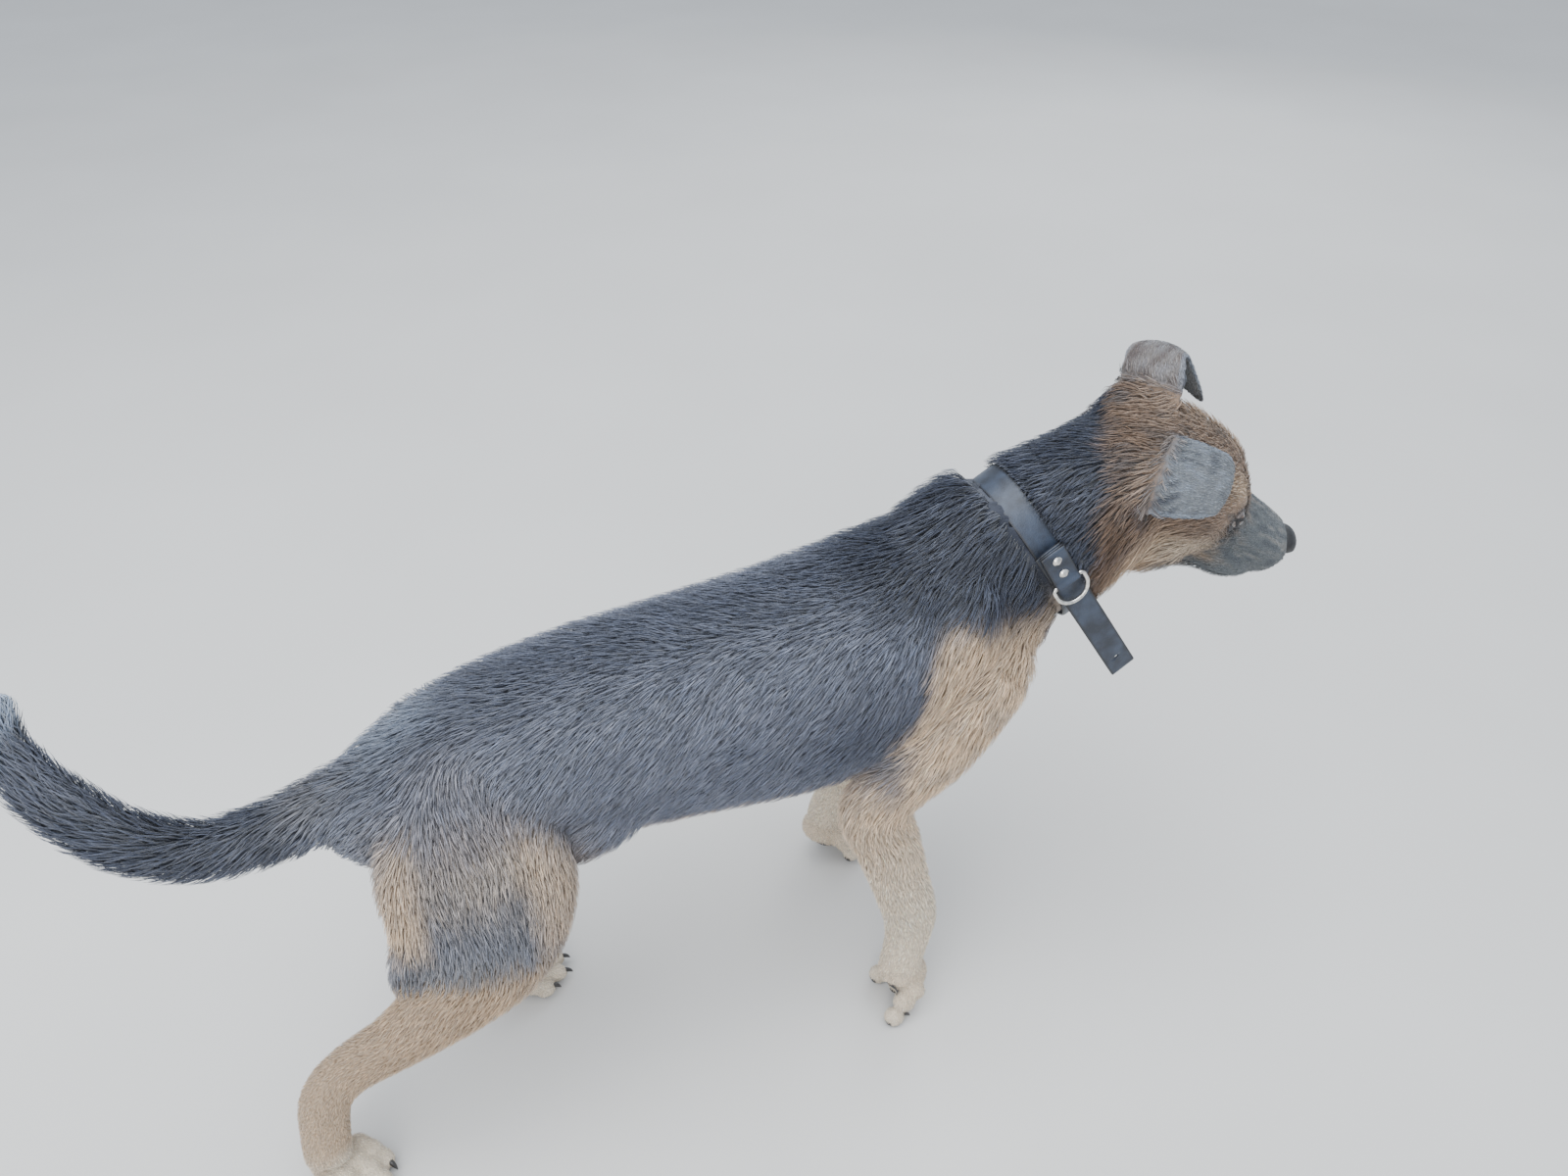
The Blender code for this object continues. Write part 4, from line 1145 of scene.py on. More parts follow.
class Hair(Enum):
    """The kinds of hair on the dog."""

    BLACK = Shade((0.015, 0.017, 0.027), (0.021, 0.027, 0.044), (0.031, 0.039, 0.066))
    SLATE = Shade((0.158, 0.168, 0.204), (0.179, 0.200, 0.264), (0.084, 0.095, 0.132))
    GRIZZLE = Shade((0.360, 0.320, 0.270), (0.330, 0.310, 0.280), (0.160, 0.160, 0.165))
    TAN = Shade((0.493, 0.371, 0.255), (0.605, 0.445, 0.304), (0.672, 0.509, 0.353))
    FAWN = Shade((0.380, 0.270, 0.175), (0.460, 0.330, 0.215), (0.520, 0.375, 0.250))
    CREAM = Shade((0.640, 0.550, 0.430), (0.780, 0.685, 0.540), (0.850, 0.765, 0.630))
    BROWN = Shade((0.160, 0.108, 0.074), (0.340, 0.236, 0.168), (0.250, 0.176, 0.126))
    RUST = Shade((0.045, 0.026, 0.016), (0.115, 0.066, 0.038), (0.080, 0.046, 0.028))
    MASK = Shade((0.068, 0.077, 0.084), (0.128, 0.145, 0.155), (0.104, 0.120, 0.130))
    EAR_GREY = Shade((0.080, 0.088, 0.098), (0.160, 0.176, 0.194), (0.215, 0.236, 0.258))
    # pale blue-grey frosted hair; on the croup it is laid as a painted sheen
    FROST = Shade((0.190, 0.225, 0.285), (0.270, 0.325, 0.415), (0.330, 0.400, 0.500))
    PAD = Shade((0.020, 0.019, 0.020), (0.026, 0.024, 0.025), (0.030, 0.028, 0.028))


class Markings:
    """Lays the kinds of hair over the body, one mask over another."""

    def __init__(self, reading: Reading) -> None:
        """Colours a number of points.

        Args:
            reading: What the compass says of the points.
        """
        self.reading = reading
        self.stages = np.zeros((len(reading.points), 3, 3))
        self.bare = np.zeros(len(reading.points))
        self.lay(Hair.SLATE, np.ones(len(reading.points)))
        points = reading.points
        self.ragged = 1.1 * noise(points, 2.4, 3) + 0.6 * noise(points, 0.8, 4)
        self.fleck = noise(points * np.array([0.5, 1, 1]), 0.9, 5)
        self._trunk()
        self._neck()
        self._legs()
        self._tail()
        self._head()
        self._ears()
        self._pads()

    def lay(self, kind: Hair, mask: Array) -> None:
        """Lays a kind of hair where a mask is above 0."""
        shade = np.array([kind.value.root, kind.value.middle, kind.value.tip])
        mask = np.clip(mask, 0, 1)[:, None, None]
        self.stages = self.stages * (1 - mask) + shade * mask

    def _trunk(self) -> None:
        """A black cape over the withers, dark spine and flank, a painted sheen on the croup and tan breast
        and belly.
        """
        reading, ragged = self.reading, self.ragged
        x, y, z = reading.points.T
        trunk = reading.of("trunk", "neck", "fore", "hind")
        self.lay(Hair.BLACK, 0.30 * soft(self.fleck, -0.2, 0.9) * trunk)
        spine = soft(np.abs(y) + ragged, 6.0, 2.0) * soft(reading.normals[:, 2], 0.45, 0.9)
        self.lay(Hair.BLACK, spine * 0.45)
        cape = soft(z + 1.6 * ragged + 0.28 * (x - 20), 47.5, 54.0) * soft(x + ragged, 4, 18)
        self.lay(Hair.BLACK, cape * 0.95)
        self.lay(Hair.BLACK, 0.5 * hump(np.hypot(x - 12, z - 41 + ragged), 6.5) * trunk)
        # painted sheen: a pale bluish spot on the croup, where the light falls on it
        self.lay(Hair.FROST, 0.45 * hump(np.hypot(x + 29.5 + ragged, y - 2.8), 4.0) * trunk)
        line = x + ragged - (14.6 + 0.27 * (z - 36))
        breast = soft(line, -0.8, 1.8) * soft(z + ragged, 52.0, 48.6) * reading.of("trunk", "fore", "neck")
        self.lay(Hair.TAN, breast * soft(x, 34.5, 32.0))
        self.lay(Hair.GRIZZLE, breast * 0.30 * soft(self.fleck, -0.1, 0.8))
        under = soft(-reading.normals[:, 2], 0.45, 0.85) * soft(z + ragged, 40, 35)
        self.lay(Hair.TAN, under * reading.of("trunk") * 0.9)

    def _neck(self) -> None:
        """Near black down to the throat, flecked with slate."""
        x, _, z = self.reading.points.T
        neck = self.reading.of("neck")
        above = soft(z - 0.55 * (x - 30) + self.ragged, 41.5, 45.5)
        self.lay(Hair.BLACK, neck * soft(x + self.ragged, 22, 27) * above)
        self.lay(Hair.SLATE, neck * 0.35 * soft(self.fleck, 0.1, 0.8))

    def _legs(self) -> None:
        """Tan legs that pale to cream feet, and a grizzled thigh with a slate patch and tan edges."""
        reading, ragged = self.reading, self.ragged
        for side in Side:
            fore, hind = f"fore_{side.label}", f"hind_{side.label}"
            share, along = reading.share[fore], reading.along[fore]
            self.lay(Hair.TAN, share * soft(along, 0.16, 0.24))
            self.lay(Hair.GRIZZLE, share * 0.18 * soft(self.fleck, 0.0, 0.8) * soft(along, 0.45, 0.3))
            self.lay(Hair.CREAM, share * soft(along, 0.2, 0.6) * 0.8)
            share, along, front = reading.share[hind], reading.along[hind], reading.front[hind]
            place = along + 0.012 * ragged
            self.lay(Hair.GRIZZLE, share * soft(place, 0.06, 0.12))
            self.lay(Hair.TAN, share * 0.40 * hump(place - 0.12, 0.09))
            low = hump(place + 0.01 * ragged - 0.225 - 0.03 * front, 0.10)
            self.lay(Hair.SLATE, share * 0.85 * low)
            self.lay(Hair.BLACK, share * 0.35 * low * soft(self.fleck, -0.5, 0.8))
            self.lay(Hair.FAWN, share * soft(place + 0.01 * ragged, 0.25, 0.35))
            ahead = soft(front, 0.55, 0.9) * soft(place, 0.05, 0.12) * soft(place, 0.30, 0.24)
            behind = soft(-front, 0.80, 0.97) * soft(place, 0.05, 0.10) * soft(place, 0.24, 0.18)
            self.lay(Hair.TAN, share * ahead * 0.7)
            self.lay(Hair.TAN, share * behind)
            self.lay(Hair.TAN, share * soft(place, 0.6, 0.95) * 0.6)
        self.lay(Hair.TAN, reading.of("paw"))
        self.lay(Hair.CREAM, reading.of("paw") * 0.9)

    def _tail(self) -> None:
        """Blue-black above, grizzled under its root, with a frosted tip."""
        reading = self.reading
        share, along, front = reading.share["tail"], reading.along["tail"], reading.front["tail"]
        self.lay(Hair.BLACK, share * (0.62 + 0.30 * soft(self.ragged, -0.6, 0.6)) * soft(along, 0.05, 0.25))
        self.lay(Hair.GRIZZLE, share * soft(-front, 0.3, 0.8) * soft(along, 0.3, 0.1) * 0.5)
        self.lay(Hair.SLATE, share * soft(along, 0.62, 0.8) * 0.45)
        self.lay(Hair.FROST, share * soft(along + 0.02 * self.ragged, 0.84, 0.93))

    def _head(self) -> None:
        """A brown skull with rusty streaks, fawn cheeks, a tan spot over each eye and a dark mask."""
        reading, ragged = self.reading, self.ragged
        half = mirrored(reading.head)
        x, side, z = half.T
        head = reading.share["head"] + reading.of("neck")
        back = np.interp(z, [-9.0, -4.0, 0.0, 3.0], [4.0, 1.6, -1.0, -3.5]) + 1.6 * ragged
        head = np.clip(head, 0, 1) * soft(x - back, -2.2, 1.2)
        self.lay(Hair.BROWN, head)
        cheek = head * soft(z + 0.6 * ragged, 0.5, -2.5) * soft(x, 2, 6)
        self.lay(Hair.FAWN, cheek * 0.85)
        self.lay(Hair.RUST, cheek * (0.12 + 0.25 * soft(self.fleck, 0.0, 0.8)))
        self.lay(Hair.RUST, head * soft(x + ragged, 4.5, 0.5) * soft(z + ragged, 1.5, -1.5) * 0.85)
        skull = soft(side, 1.2, 3.4) * soft(z, 2.8, 4.8) * soft(x, 1, 6) * soft(x, 12, 9)
        self.lay(Hair.FAWN, head * 0.45 * skull)
        streak = soft(noise(reading.head * np.array([0.35, 1, 1]), 0.8, 6), 0.0, 0.7)
        self.lay(Hair.RUST, head * soft(x - back, 4.5, 0.5) * 0.75)
        self.lay(Hair.BLACK, head * soft(x - back, 5.5, 1.0) * streak * 0.7)
        self.lay(Hair.RUST, head * streak * 0.6 * soft(z, -1.5, 2.5))
        self.lay(Hair.MASK, head * streak * 0.35 * soft(z, 0.5, 3))
        self.lay(Hair.CREAM, head * 0.5 * cushion(half, (9.5, 5.2, -2.4), (3.6, 2.5, 1.7)))
        self.lay(Hair.TAN, head * 0.9 * cushion(half, (10.2, 2.6, 4.4), (1.1, 1.1, 1.2)))
        grain = noise(reading.head * np.array([0.4, 1.3, 1.3]), 0.55, 7)
        edge = x + 0.8 * ragged + 1.5 * grain + 0.5 * soft(z, -4, 0)
        self.lay(Hair.MASK, head * soft(edge, 10.8, 17.0))
        self.lay(Hair.BLACK, head * 0.40 * soft(grain, -0.1, 0.7) * soft(edge, 12.0, 16.0))
        pale = soft(-grain, 0.0, 0.8) * soft(edge, 12.5, 16.0) * soft(z, -4.0, -1.0)
        self.lay(Hair.GRIZZLE, head * 0.35 * pale)
        self.lay(Hair.BLACK, head * 0.55 * soft(z - mouth_height(x), 0.2, -1.2) * soft(x, 9.0, 13.0))
        self.lay(Hair.MASK, head * 0.8 * soft(np.abs(z + 5.4 - 0.02 * x), 1.3, 0.5) * soft(x, 7.5, 10.5))
        rim = eye_distance(reading.head)
        self.lay(Hair.BLACK, head * soft(rim, 2.0, 1.3) * 0.75)
        self.lay(Hair.PAD, head * soft(rim, 1.42, 1.26))
        self.lay(Hair.PAD, head * hump(z - mouth_height(x), 0.26) * soft(x, 12.2, 13.2))

    def _ears(self) -> None:
        """Streaky grey, dark by the head and at the edge, with a pale rim and a black left tip."""
        reading = self.reading
        ear, along, inside = reading.ear, reading.ear_along, reading.ear_inside
        across = np.abs(reading.ear_across)
        self.lay(Hair.EAR_GREY, ear)
        streak = noise(reading.head * np.array([1.2, 1.2, 0.4]), 0.6, 8)
        low = soft(along + 0.05 * self.ragged, 0.60, 0.30)
        left = (reading.head[:, 1] > 0).astype(float)
        self.lay(Hair.BLACK, ear * 0.40 * soft(streak, 0.0, 0.8))
        self.lay(Hair.FROST, ear * 0.35 * soft(-streak, 0.1, 0.8))
        self.lay(Hair.BLACK, ear * low * soft(streak, -0.1, 0.6) * (0.6 + 0.3 * left))
        self.lay(Hair.BROWN, ear * low * left * 0.3)
        self.lay(Hair.FROST, ear * soft(across, 0.80, 0.94) * 0.5)
        self.lay(Hair.BLACK, ear * 0.85 * soft(along + 0.02 * self.ragged, 0.84, 0.95) * left)
        self.lay(Hair.BLACK, ear * 0.6 * soft(across, 0.93, 1.0))
        self.lay(Hair.GRIZZLE, ear * inside * soft(across, 0.95, 0.7) * 0.15)

    def _pads(self) -> None:
        """Bare black pads under the paws."""
        reading = self.reading
        for paw in PAWS:
            lift = paw.frame.to_3x3() @ paw.raised.to_3x3() @ Vector((-0.15, 0, -1))
            facing = reading.normals @ np.array(lift.normalized())
            toe_facing = -reading.normals[:, 2]
            for k, (place, radius) in enumerate(paw.pads()):
                distance = np.linalg.norm(reading.points - np.array(place), axis=1)
                turned = facing if k == 0 else np.maximum(facing, toe_facing)
                mask = soft(distance, radius * 1.25, radius * 1.05) * soft(turned, 0.35, 0.55)
                self.lay(Hair.PAD, mask)
                self.bare = np.maximum(self.bare, mask)

    def skin(self) -> Array:
        """The colour of the skin and its down: between root and middle, in shade."""
        return (0.45 * self.stages[:, 0] + 0.55 * self.stages[:, 1]) * 0.85


# ---------------------------------------------------------------- eyes, nose and claws


@dataclass(frozen=True)
class Eye:
    """An eye in its almond-shaped opening. Its own axes are x to the outer corner, y up and z out."""

    side: Side

    GAZE = (0.78, 0.56, 0.26)  # of the left eye, in the head's frame
    TILT = 14.0  # degrees that the outer corner is raised
    HALF_WIDTH, HALF_HEIGHT = 0.92, 0.40  # of the opening, as angles from the gaze
    LID = 0.10  # thickness of the lids over the ball
    SOCKET = 0.72  # how far out the skin in the opening is, against the ball's radius
    REACH = 2.6  # how far from the eye's centre the skin is drawn
    CORNEA = 0.06  # how much the ball bulges in front
    RIM = 0.075  # radius of the dark edge of the lids

    @property
    def frame(self) -> Matrix:
        """The eye's axes on the plan."""
        sign = self.side.value
        out = Vector((self.GAZE[0], self.GAZE[1] * sign, self.GAZE[2])).normalized()
        outer = Vector((-1, 0.35 * sign, 0))
        outer = (outer - out * outer.dot(out)).normalized()
        up = out.cross(outer) * (1 if out.cross(outer).z > 0 else -1)
        turned = outer * cos(radians(self.TILT)) + up * sin(radians(self.TILT))
        lifted = up * cos(radians(self.TILT)) - outer * sin(radians(self.TILT))
        axes = Matrix((turned, lifted, out)).transposed().to_4x4()
        return HEAD @ Matrix.Translation((EYE_AT[0], EYE_AT[1] * sign, EYE_AT[2])) @ axes

    def opening(self, local: Array) -> Array:
        """How far a point in the eye's axes is from the gaze, against the almond's edge at 1."""
        distance = np.maximum(np.linalg.norm(local, axis=1), 1e-6)
        wide = np.arctan2(local[:, 0], local[:, 2]) / self.HALF_WIDTH
        high = np.arcsin(np.clip(local[:, 1] / distance, -1, 1)) / self.HALF_HEIGHT
        return wide**2 + np.abs(high)

    def sculpt(self, points: Array) -> Array:
        """Draws the skin round the eye into lids, and the skin in the opening back behind the ball.

        Args:
            points: The skin's points, on the plan.

        Returns:
            The points, moved.
        """
        matrix = self.frame
        local = moved(matrix.inverted(), points)
        distance = np.linalg.norm(local, axis=1)
        near = (distance < self.REACH) & (local[:, 2] > -0.3)
        here, far = local[near], distance[near]
        edge = self.opening(here)
        lid = EYE_RADIUS + self.LID
        wanted = np.where(edge < 1, EYE_RADIUS * self.SOCKET, lid + 0.05 * hump(edge - 1.5, 0.4))
        hold = np.where(edge < 1, 1.0, soft(edge, 3.0, 1.1)) * soft(far, self.REACH, 1.7)
        local[near] = here / far[:, None] * (far * (1 - hold) + wanted * hold)[:, None]
        return moved(matrix, local)

    def build(self) -> None:
        """Builds the ball with its cornea, and the dark rim of the lids."""
        ball = globe(64, 56)
        bulge = 1 + self.CORNEA * hump(np.arccos(ball[..., 2:]), 0.5)
        corners, faces = swept(ball * bulge * (EYE_RADIUS - 0.02))
        piece = mesh_object(f"eyeball_{self.side.label}", corners, faces, WORLD @ self.frame)
        outward = np.arccos(np.clip(unit(corners)[:, 2], -1, 1)) / 1.5
        set_values(piece.data, "Outward", np.clip(outward, 0, 1))
        dressed(piece, EyeFinish().material())
        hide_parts(f"eye_{self.side.label}")
        self._rim()

    def _rim(self) -> None:
        """A fine tube along the edge of the lids."""
        turn = np.linspace(0, 2 * pi, 72, endpoint=False)
        wide = np.cos(turn) * self.HALF_WIDTH
        high = np.sign(np.sin(turn)) * (1 - np.cos(turn) ** 2) * self.HALF_HEIGHT
        reach = EYE_RADIUS + 0.045
        path = reach * np.stack([np.cos(high) * np.sin(wide), np.sin(high), np.cos(high) * np.cos(wide)], -1)
        radii, ahead = np.full(len(path), self.RIM), np.array([0, 0, 1.0])
        corners, faces = tube(path, radii, ahead, sides=8, loop=True)
        rim = mesh_object(f"lid_rim_{self.side.label}", corners, faces, WORLD @ self.frame)
        dressed(rim, LID_RIM.material())


@dataclass(frozen=True)
class Nose:
    """The nose leather, with two comma-shaped nostrils and a groove between them."""

    at: Point = (22.85, 0, 0.1)
    radii: Point = (1.30, 1.66, 1.18)
    tilt: float = 12.0  # degrees

    def build(self) -> None:
        """Builds the leather as one closed form."""
        ball = np.roll(globe(128, 96), 1, axis=-1)
        x, y, z = np.moveaxis(np.sign(ball) * np.abs(ball) ** 0.9, -1, 0)
        side = np.abs(y)
        deep = 0.34 * hump(np.hypot((side - 0.50) / 0.9, (z + 0.02) / 0.85), 0.20) * soft(x, 0.1, 0.5)
        slit_height = -0.16 - 0.30 * (side - 0.5)
        slit = 0.24 * hump((z - slit_height) / 0.10, 1) * soft(side, 0.45, 0.62) * soft(side, 1.02, 0.85)
        deep += slit * (x > -0.2)
        deep += 0.10 * hump(side, 0.05) * soft(x, 0.2, 0.6) * soft(z, 0.55, 0.1)
        puff = 0.05 * hump(np.hypot((side - 0.62) / 1.2, (z - 0.34) / 0.8), 0.3)
        ball = np.stack([x, y, z], -1) * (1 - deep + puff)[..., None] * np.array(self.radii)
        corners, faces = swept(ball)
        lean = HEAD @ Matrix.Translation(self.at) @ Matrix.Rotation(radians(self.tilt), 4, "Y")
        piece = mesh_object("nose_leather", corners, faces, WORLD @ lean)
        dressed(piece, NOSE_LEATHER.material())
        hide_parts("nose")


def build_claws() -> None:
    """Builds the claws of each paw as one piece a paw."""
    for paw in PAWS:
        dressed(mesh_object(f"claws_{paw.name}", *paw.claws()), HORN.material())


# ---------------------------------------------------------------- the collar's place


@dataclass(frozen=True)
class Collar:
    """A leather strap round the neck, folded over a D ring and riveted, with its loose end hanging."""

    at: Point = (31.8, -0.1, 51.8)
    lean: float = -30.0  # degrees
    half: tuple[float, float] = (6.9, 9.2)  # to the outside of the band: across the neck, and nape to throat
    width: float = 2.8
    leather: float = 0.30
    fold_angle: float = 176.0  # degrees round the neck from its left side
    fold_length: float = 4.2
    ring_width: float = 3.4
    ring_depth: float = 2.6
    ring_wire: float = 0.21
    loose_end: float = 15.8  # from the ring's bar
    loose_turn: float = 3.0  # degrees that the loose end swings forward of the fold
    gap: float = 0.045
    rivets: tuple[float, float] = (-3.05, -1.25)  # how far along the fold each stands
    ring_tip: float = -4.0  # degrees that the ring hangs off the fold's plane
    hole: float = 0.22  # radius of the hole in the loose end
    hole_from_end: float = 2.2
    hair_clear: float = 0.03  # how far under the leather the pressed hair lies

    @property
    def frame(self) -> Matrix:
        """The loop's axes on the plan: x to the head, y to the left and z to the nape."""
        return Matrix.Translation(self.at) @ Matrix.Rotation(radians(self.lean), 4, "Y")

    def loop_point(self, angle: float, out: float = 0.0) -> Vector:
        """A point of the loop on the plan, at an angle in radians and a distance out from the band."""
        spot = Vector((0, self.half[0] * cos(angle), self.half[1] * sin(angle)))
        normal = Vector((0, cos(angle) / self.half[0], sin(angle) / self.half[1])).normalized()
        return self.frame @ (spot + normal * out)

    @property
    def fold_frame(self) -> Matrix:
        """Axes where the ring hangs: x down along the strap, y to the head, z out from the neck."""
        angle = radians(self.fold_angle)
        here = self.loop_point(angle)
        x = (self.loop_point(angle + 0.01) - here).normalized()
        out = self.loop_point(angle, 1.0) - here
        z = (out - x * out.dot(x)).normalized()
        return Matrix.Translation(here) @ Matrix((x, z.cross(x), z)).transposed().to_4x4()

    @property
    def loose_frame(self) -> Matrix:
        """Axes of the loose end: those of the fold, turned."""
        return self.fold_frame @ Matrix.Rotation(radians(self.loose_turn), 4, "Z")

    def beside(self, points: Array) -> tuple[Array, Array]:
        """How far points are in front of the band's middle, and how far out against its half widths."""
        local = moved(self.frame.inverted(), points)
        return local[:, 0], np.hypot(local[:, 1] / self.half[0], local[:, 2] / self.half[1])

    def press(self, points: Array, clear: float) -> Array:
        """Points under the band, and under the loose end, pushed in until they clear the leather.

        Args:
            points: Points of the skin or of the coat, on the plan.
            clear: How far inside the leather they end.

        Returns:
            The points, moved.
        """
        local = moved(self.frame.inverted(), points)
        ratio = np.hypot(local[:, 1] / self.half[0], local[:, 2] / self.half[1])
        limit = 1 - (self.leather + clear) / self.half[0]
        aside = np.abs(local[:, 0]) - self.width / 2
        over = (ratio > limit + 0.5 * soft(aside, 0, 1.2)) & (aside < 1.2)
        squeeze = np.where(over, (limit + 0.5 * soft(aside, 0, 1.2)) / np.maximum(ratio, 1e-6), 1.0)
        local[:, 1:] *= squeeze[:, None]
        points = moved(self.frame, local)
        flat = moved(self.loose_frame.inverted(), points)
        along, aside = flat[:, 0], np.abs(flat[:, 1])
        strap = soft(aside, 2.3, 1.6) * soft(along, -5.0, -4.3) * soft(along, 17.5, 16.3)
        ring = soft(aside, 2.9, 2.2) * soft(along, -1.6, -0.6) * soft(along, 4.2, 3.2)
        high = np.maximum(flat[:, 2] + clear * 0.3, 0) * (flat[:, 2] < 4)
        flat[:, 2] -= high * np.maximum(strap, ring)
        return moved(self.loose_frame, flat)

    def comb(self, points: Array) -> Array:
        """Combs hair by the band: what just reaches its front edge lies over it, the rest goes under.

        Args:
            points: Corners of the tufts, on the plan.

        Returns:
            The corners, moved.
        """
        ahead, ratio = self.beside(points)
        over = (ahead > self.width / 2 - 0.7) & (ahead < self.width / 2 + 0.3) & (ratio < 1.4)
        local = moved(self.frame.inverted(), points)
        raised = np.maximum(1.03 / np.maximum(ratio, 1e-6), 1.0)
        local[:, 1:] *= raised[:, None]
        return np.where(over[:, None], moved(self.frame, local), self.press(points, self.hair_clear))

    def build(self) -> None:
        """Builds the band, the fold with its ring and rivets, and the loose end."""
        self._band()
        self._fold()
        self._ring()
        for label, along in zip(("upper", "lower"), self.rivets):
            self._rivet(label, along)
        self._loose_end()

    def _strip(self, name: str, rings: Array, node: str, loop: bool = False) -> bpy.types.Object:
        """A piece of strap that stands for a node.

        Args:
            name: The piece's name.
            rings: Points round its section, a row a ring.
            node: The node that it replaces.
            loop: Whether it closes on itself.

        Returns:
            The piece.
        """
        corners, faces = swept(rings, loop)
        piece = mesh_object(name, corners, faces)
        dressed(piece, LEATHER.material())
        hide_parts(node)
        return piece

    @staticmethod
    def _section(width: float, thick: float) -> tuple[Array, Array]:
        """Points round a strap's section, across and through it, with eased corners."""
        turn = 2 * pi * (np.arange(48) + 0.5) / 48
        across = np.sign(np.cos(turn)) * np.abs(np.cos(turn)) ** 0.22
        through = np.sign(np.sin(turn)) * np.abs(np.sin(turn)) ** 0.45
        return across * width / 2, through * thick / 2

    def _edge_values(self, piece: bpy.types.Object, across: Array, rings: int, capped: bool) -> None:
        """Stores how near each point of a strip is to its cut edges."""
        share = np.abs(across) / (self.width / 2)
        values = np.tile(share, rings)
        if capped:
            ends = np.ones(len(share))
            values = np.concatenate([ends, values, ends])
        set_values(piece.data, "Edge", values)

    def _band(self) -> None:
        """The loop round the neck, eased and slightly uneven."""
        across, through = self._section(self.width, self.leather)
        turns = np.linspace(0, 2 * pi, 240, endpoint=False)
        ease = 0.03 * np.sin(5 * turns) + 0.02 * np.sin(11 * turns + 1)
        centre = np.array([self.loop_point(t, -self.leather / 2) for t in turns])
        out = unit(np.array([self.loop_point(t, 1.0) - self.loop_point(t) for t in turns]))
        along = np.array(self.frame.to_3x3() @ Vector((1, 0, 0)))
        aside, outward = (across + ease[:, None])[..., None], through[None, :, None]
        rings = centre[:, None] + along * aside + out[:, None] * outward
        piece = self._strip("collar_strap", rings, "collar_band", loop=True)
        self._edge_values(piece, across, len(turns), capped=False)

    @property
    def bar_height(self) -> float:
        """How far the ring's bar is above the outside of the band."""
        return self.leather + 2 * self.gap + self.ring_wire + self.gap + 0.14

    def _fold(self) -> None:
        """The strap's end, doubled back round the ring's bar."""
        low = self.leather + 2 * self.gap
        layer = self.leather * 0.8
        sleeve = self.ring_wire + self.gap + 0.07
        turn = np.radians(np.linspace(-80, 80, 9))
        stations = [(-self.fold_length, low + layer / 2, layer), (-1.2, low + layer / 2, layer)]
        stations += [(-0.35, low + layer / 2 - 0.01, layer * 0.85)]
        stations += [(sleeve * cos(t), self.bar_height + sleeve * sin(t), 0.14) for t in turn]
        stations += [(-0.5, low + layer * 1.62, layer * 0.85), (-1.2, low + layer * 1.5, layer)]
        stations += [(-self.fold_length, low + layer * 1.5, layer)]
        path = spline(stations, 5)
        place = np.stack([path[:, 0], np.zeros(len(path)), path[:, 1]], 1)
        ahead = unit(np.gradient(place, axis=0))
        out = np.cross(ahead, np.array([0, 1.0, 0]))
        across, through = self._section(self.width - 0.2, 1.0)
        aside = np.array([0, 1.0, 0]) * across[:, None]
        rings = place[:, None] + aside + out[:, None] * (through * path[:, 2:3])[..., None]
        piece = self._strip("collar_doubled_end", moved(self.fold_frame, rings), "collar_fold")
        self._edge_values(piece, across * 1.05, len(path), capped=True)

    def _ring(self) -> None:
        """The D ring: a straight bar and a round bow of nickel wire."""
        half, reach = self.ring_width / 2, self.ring_depth - self.ring_width / 2
        corner = 0.35
        bar = [(0, -half + corner + (2 * half - 2 * corner) * k / 6) for k in range(7)]
        turn = np.radians(np.linspace(0, 90, 6)[1:])
        upper = [(corner * (1 - cos(t)), half - corner + corner * sin(t)) for t in turn]
        bow = [(reach + half * sin(pi * k / 24), half * cos(pi * k / 24)) for k in range(25)]
        lower = [(x, -y) for x, y in upper[::-1]]
        outline = np.array([*bar, *upper, *bow, *lower])
        hang = self.fold_frame @ Matrix.Translation((0, 0, self.bar_height))
        hang = hang @ Matrix.Rotation(radians(self.ring_tip), 4, "Y")
        path = moved(hang, np.stack([outline[:, 0], outline[:, 1], np.zeros(len(outline))], 1))
        flat = np.array(hang.to_3x3() @ Vector((0, 0, 1)))
        corners, faces = tube(path, np.full(len(path), self.ring_wire), flat, sides=20, loop=True)
        self._metal("collar_d_ring", corners, faces, "collar_ring")

    def _rivet(self, label: str, along: float) -> None:
        """A domed rivet head with a thin rim."""
        profile = [(0.0, 0.26), (0.12, 0.252), (0.24, 0.222), (0.34, 0.165), (0.40, 0.10), (0.43, 0.06)]
        profile += [(0.47, 0.055), (0.485, 0.03), (0.47, 0.0), (0.20, -0.01)]
        turn = 2 * pi * np.arange(32) / 32
        rings = np.array([[(r * cos(t), r * sin(t), h) for t in turn] for r, h in profile])
        top = self.leather + 2 * self.gap + 2 * self.leather * 0.8 + self.gap * 0.5
        corners, faces = swept(moved(self.fold_frame @ Matrix.Translation((along, 0, top)), rings))
        self._metal(f"rivet_head_{label}", corners, faces, f"collar_rivet_{label}")

    @staticmethod
    def _metal(name: str, corners: Array, faces: Array, node: str) -> None:
        """A nickel piece that stands for a node."""
        piece = mesh_object(name, corners, faces)
        dressed(piece, NICKEL.material())
        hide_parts(node)

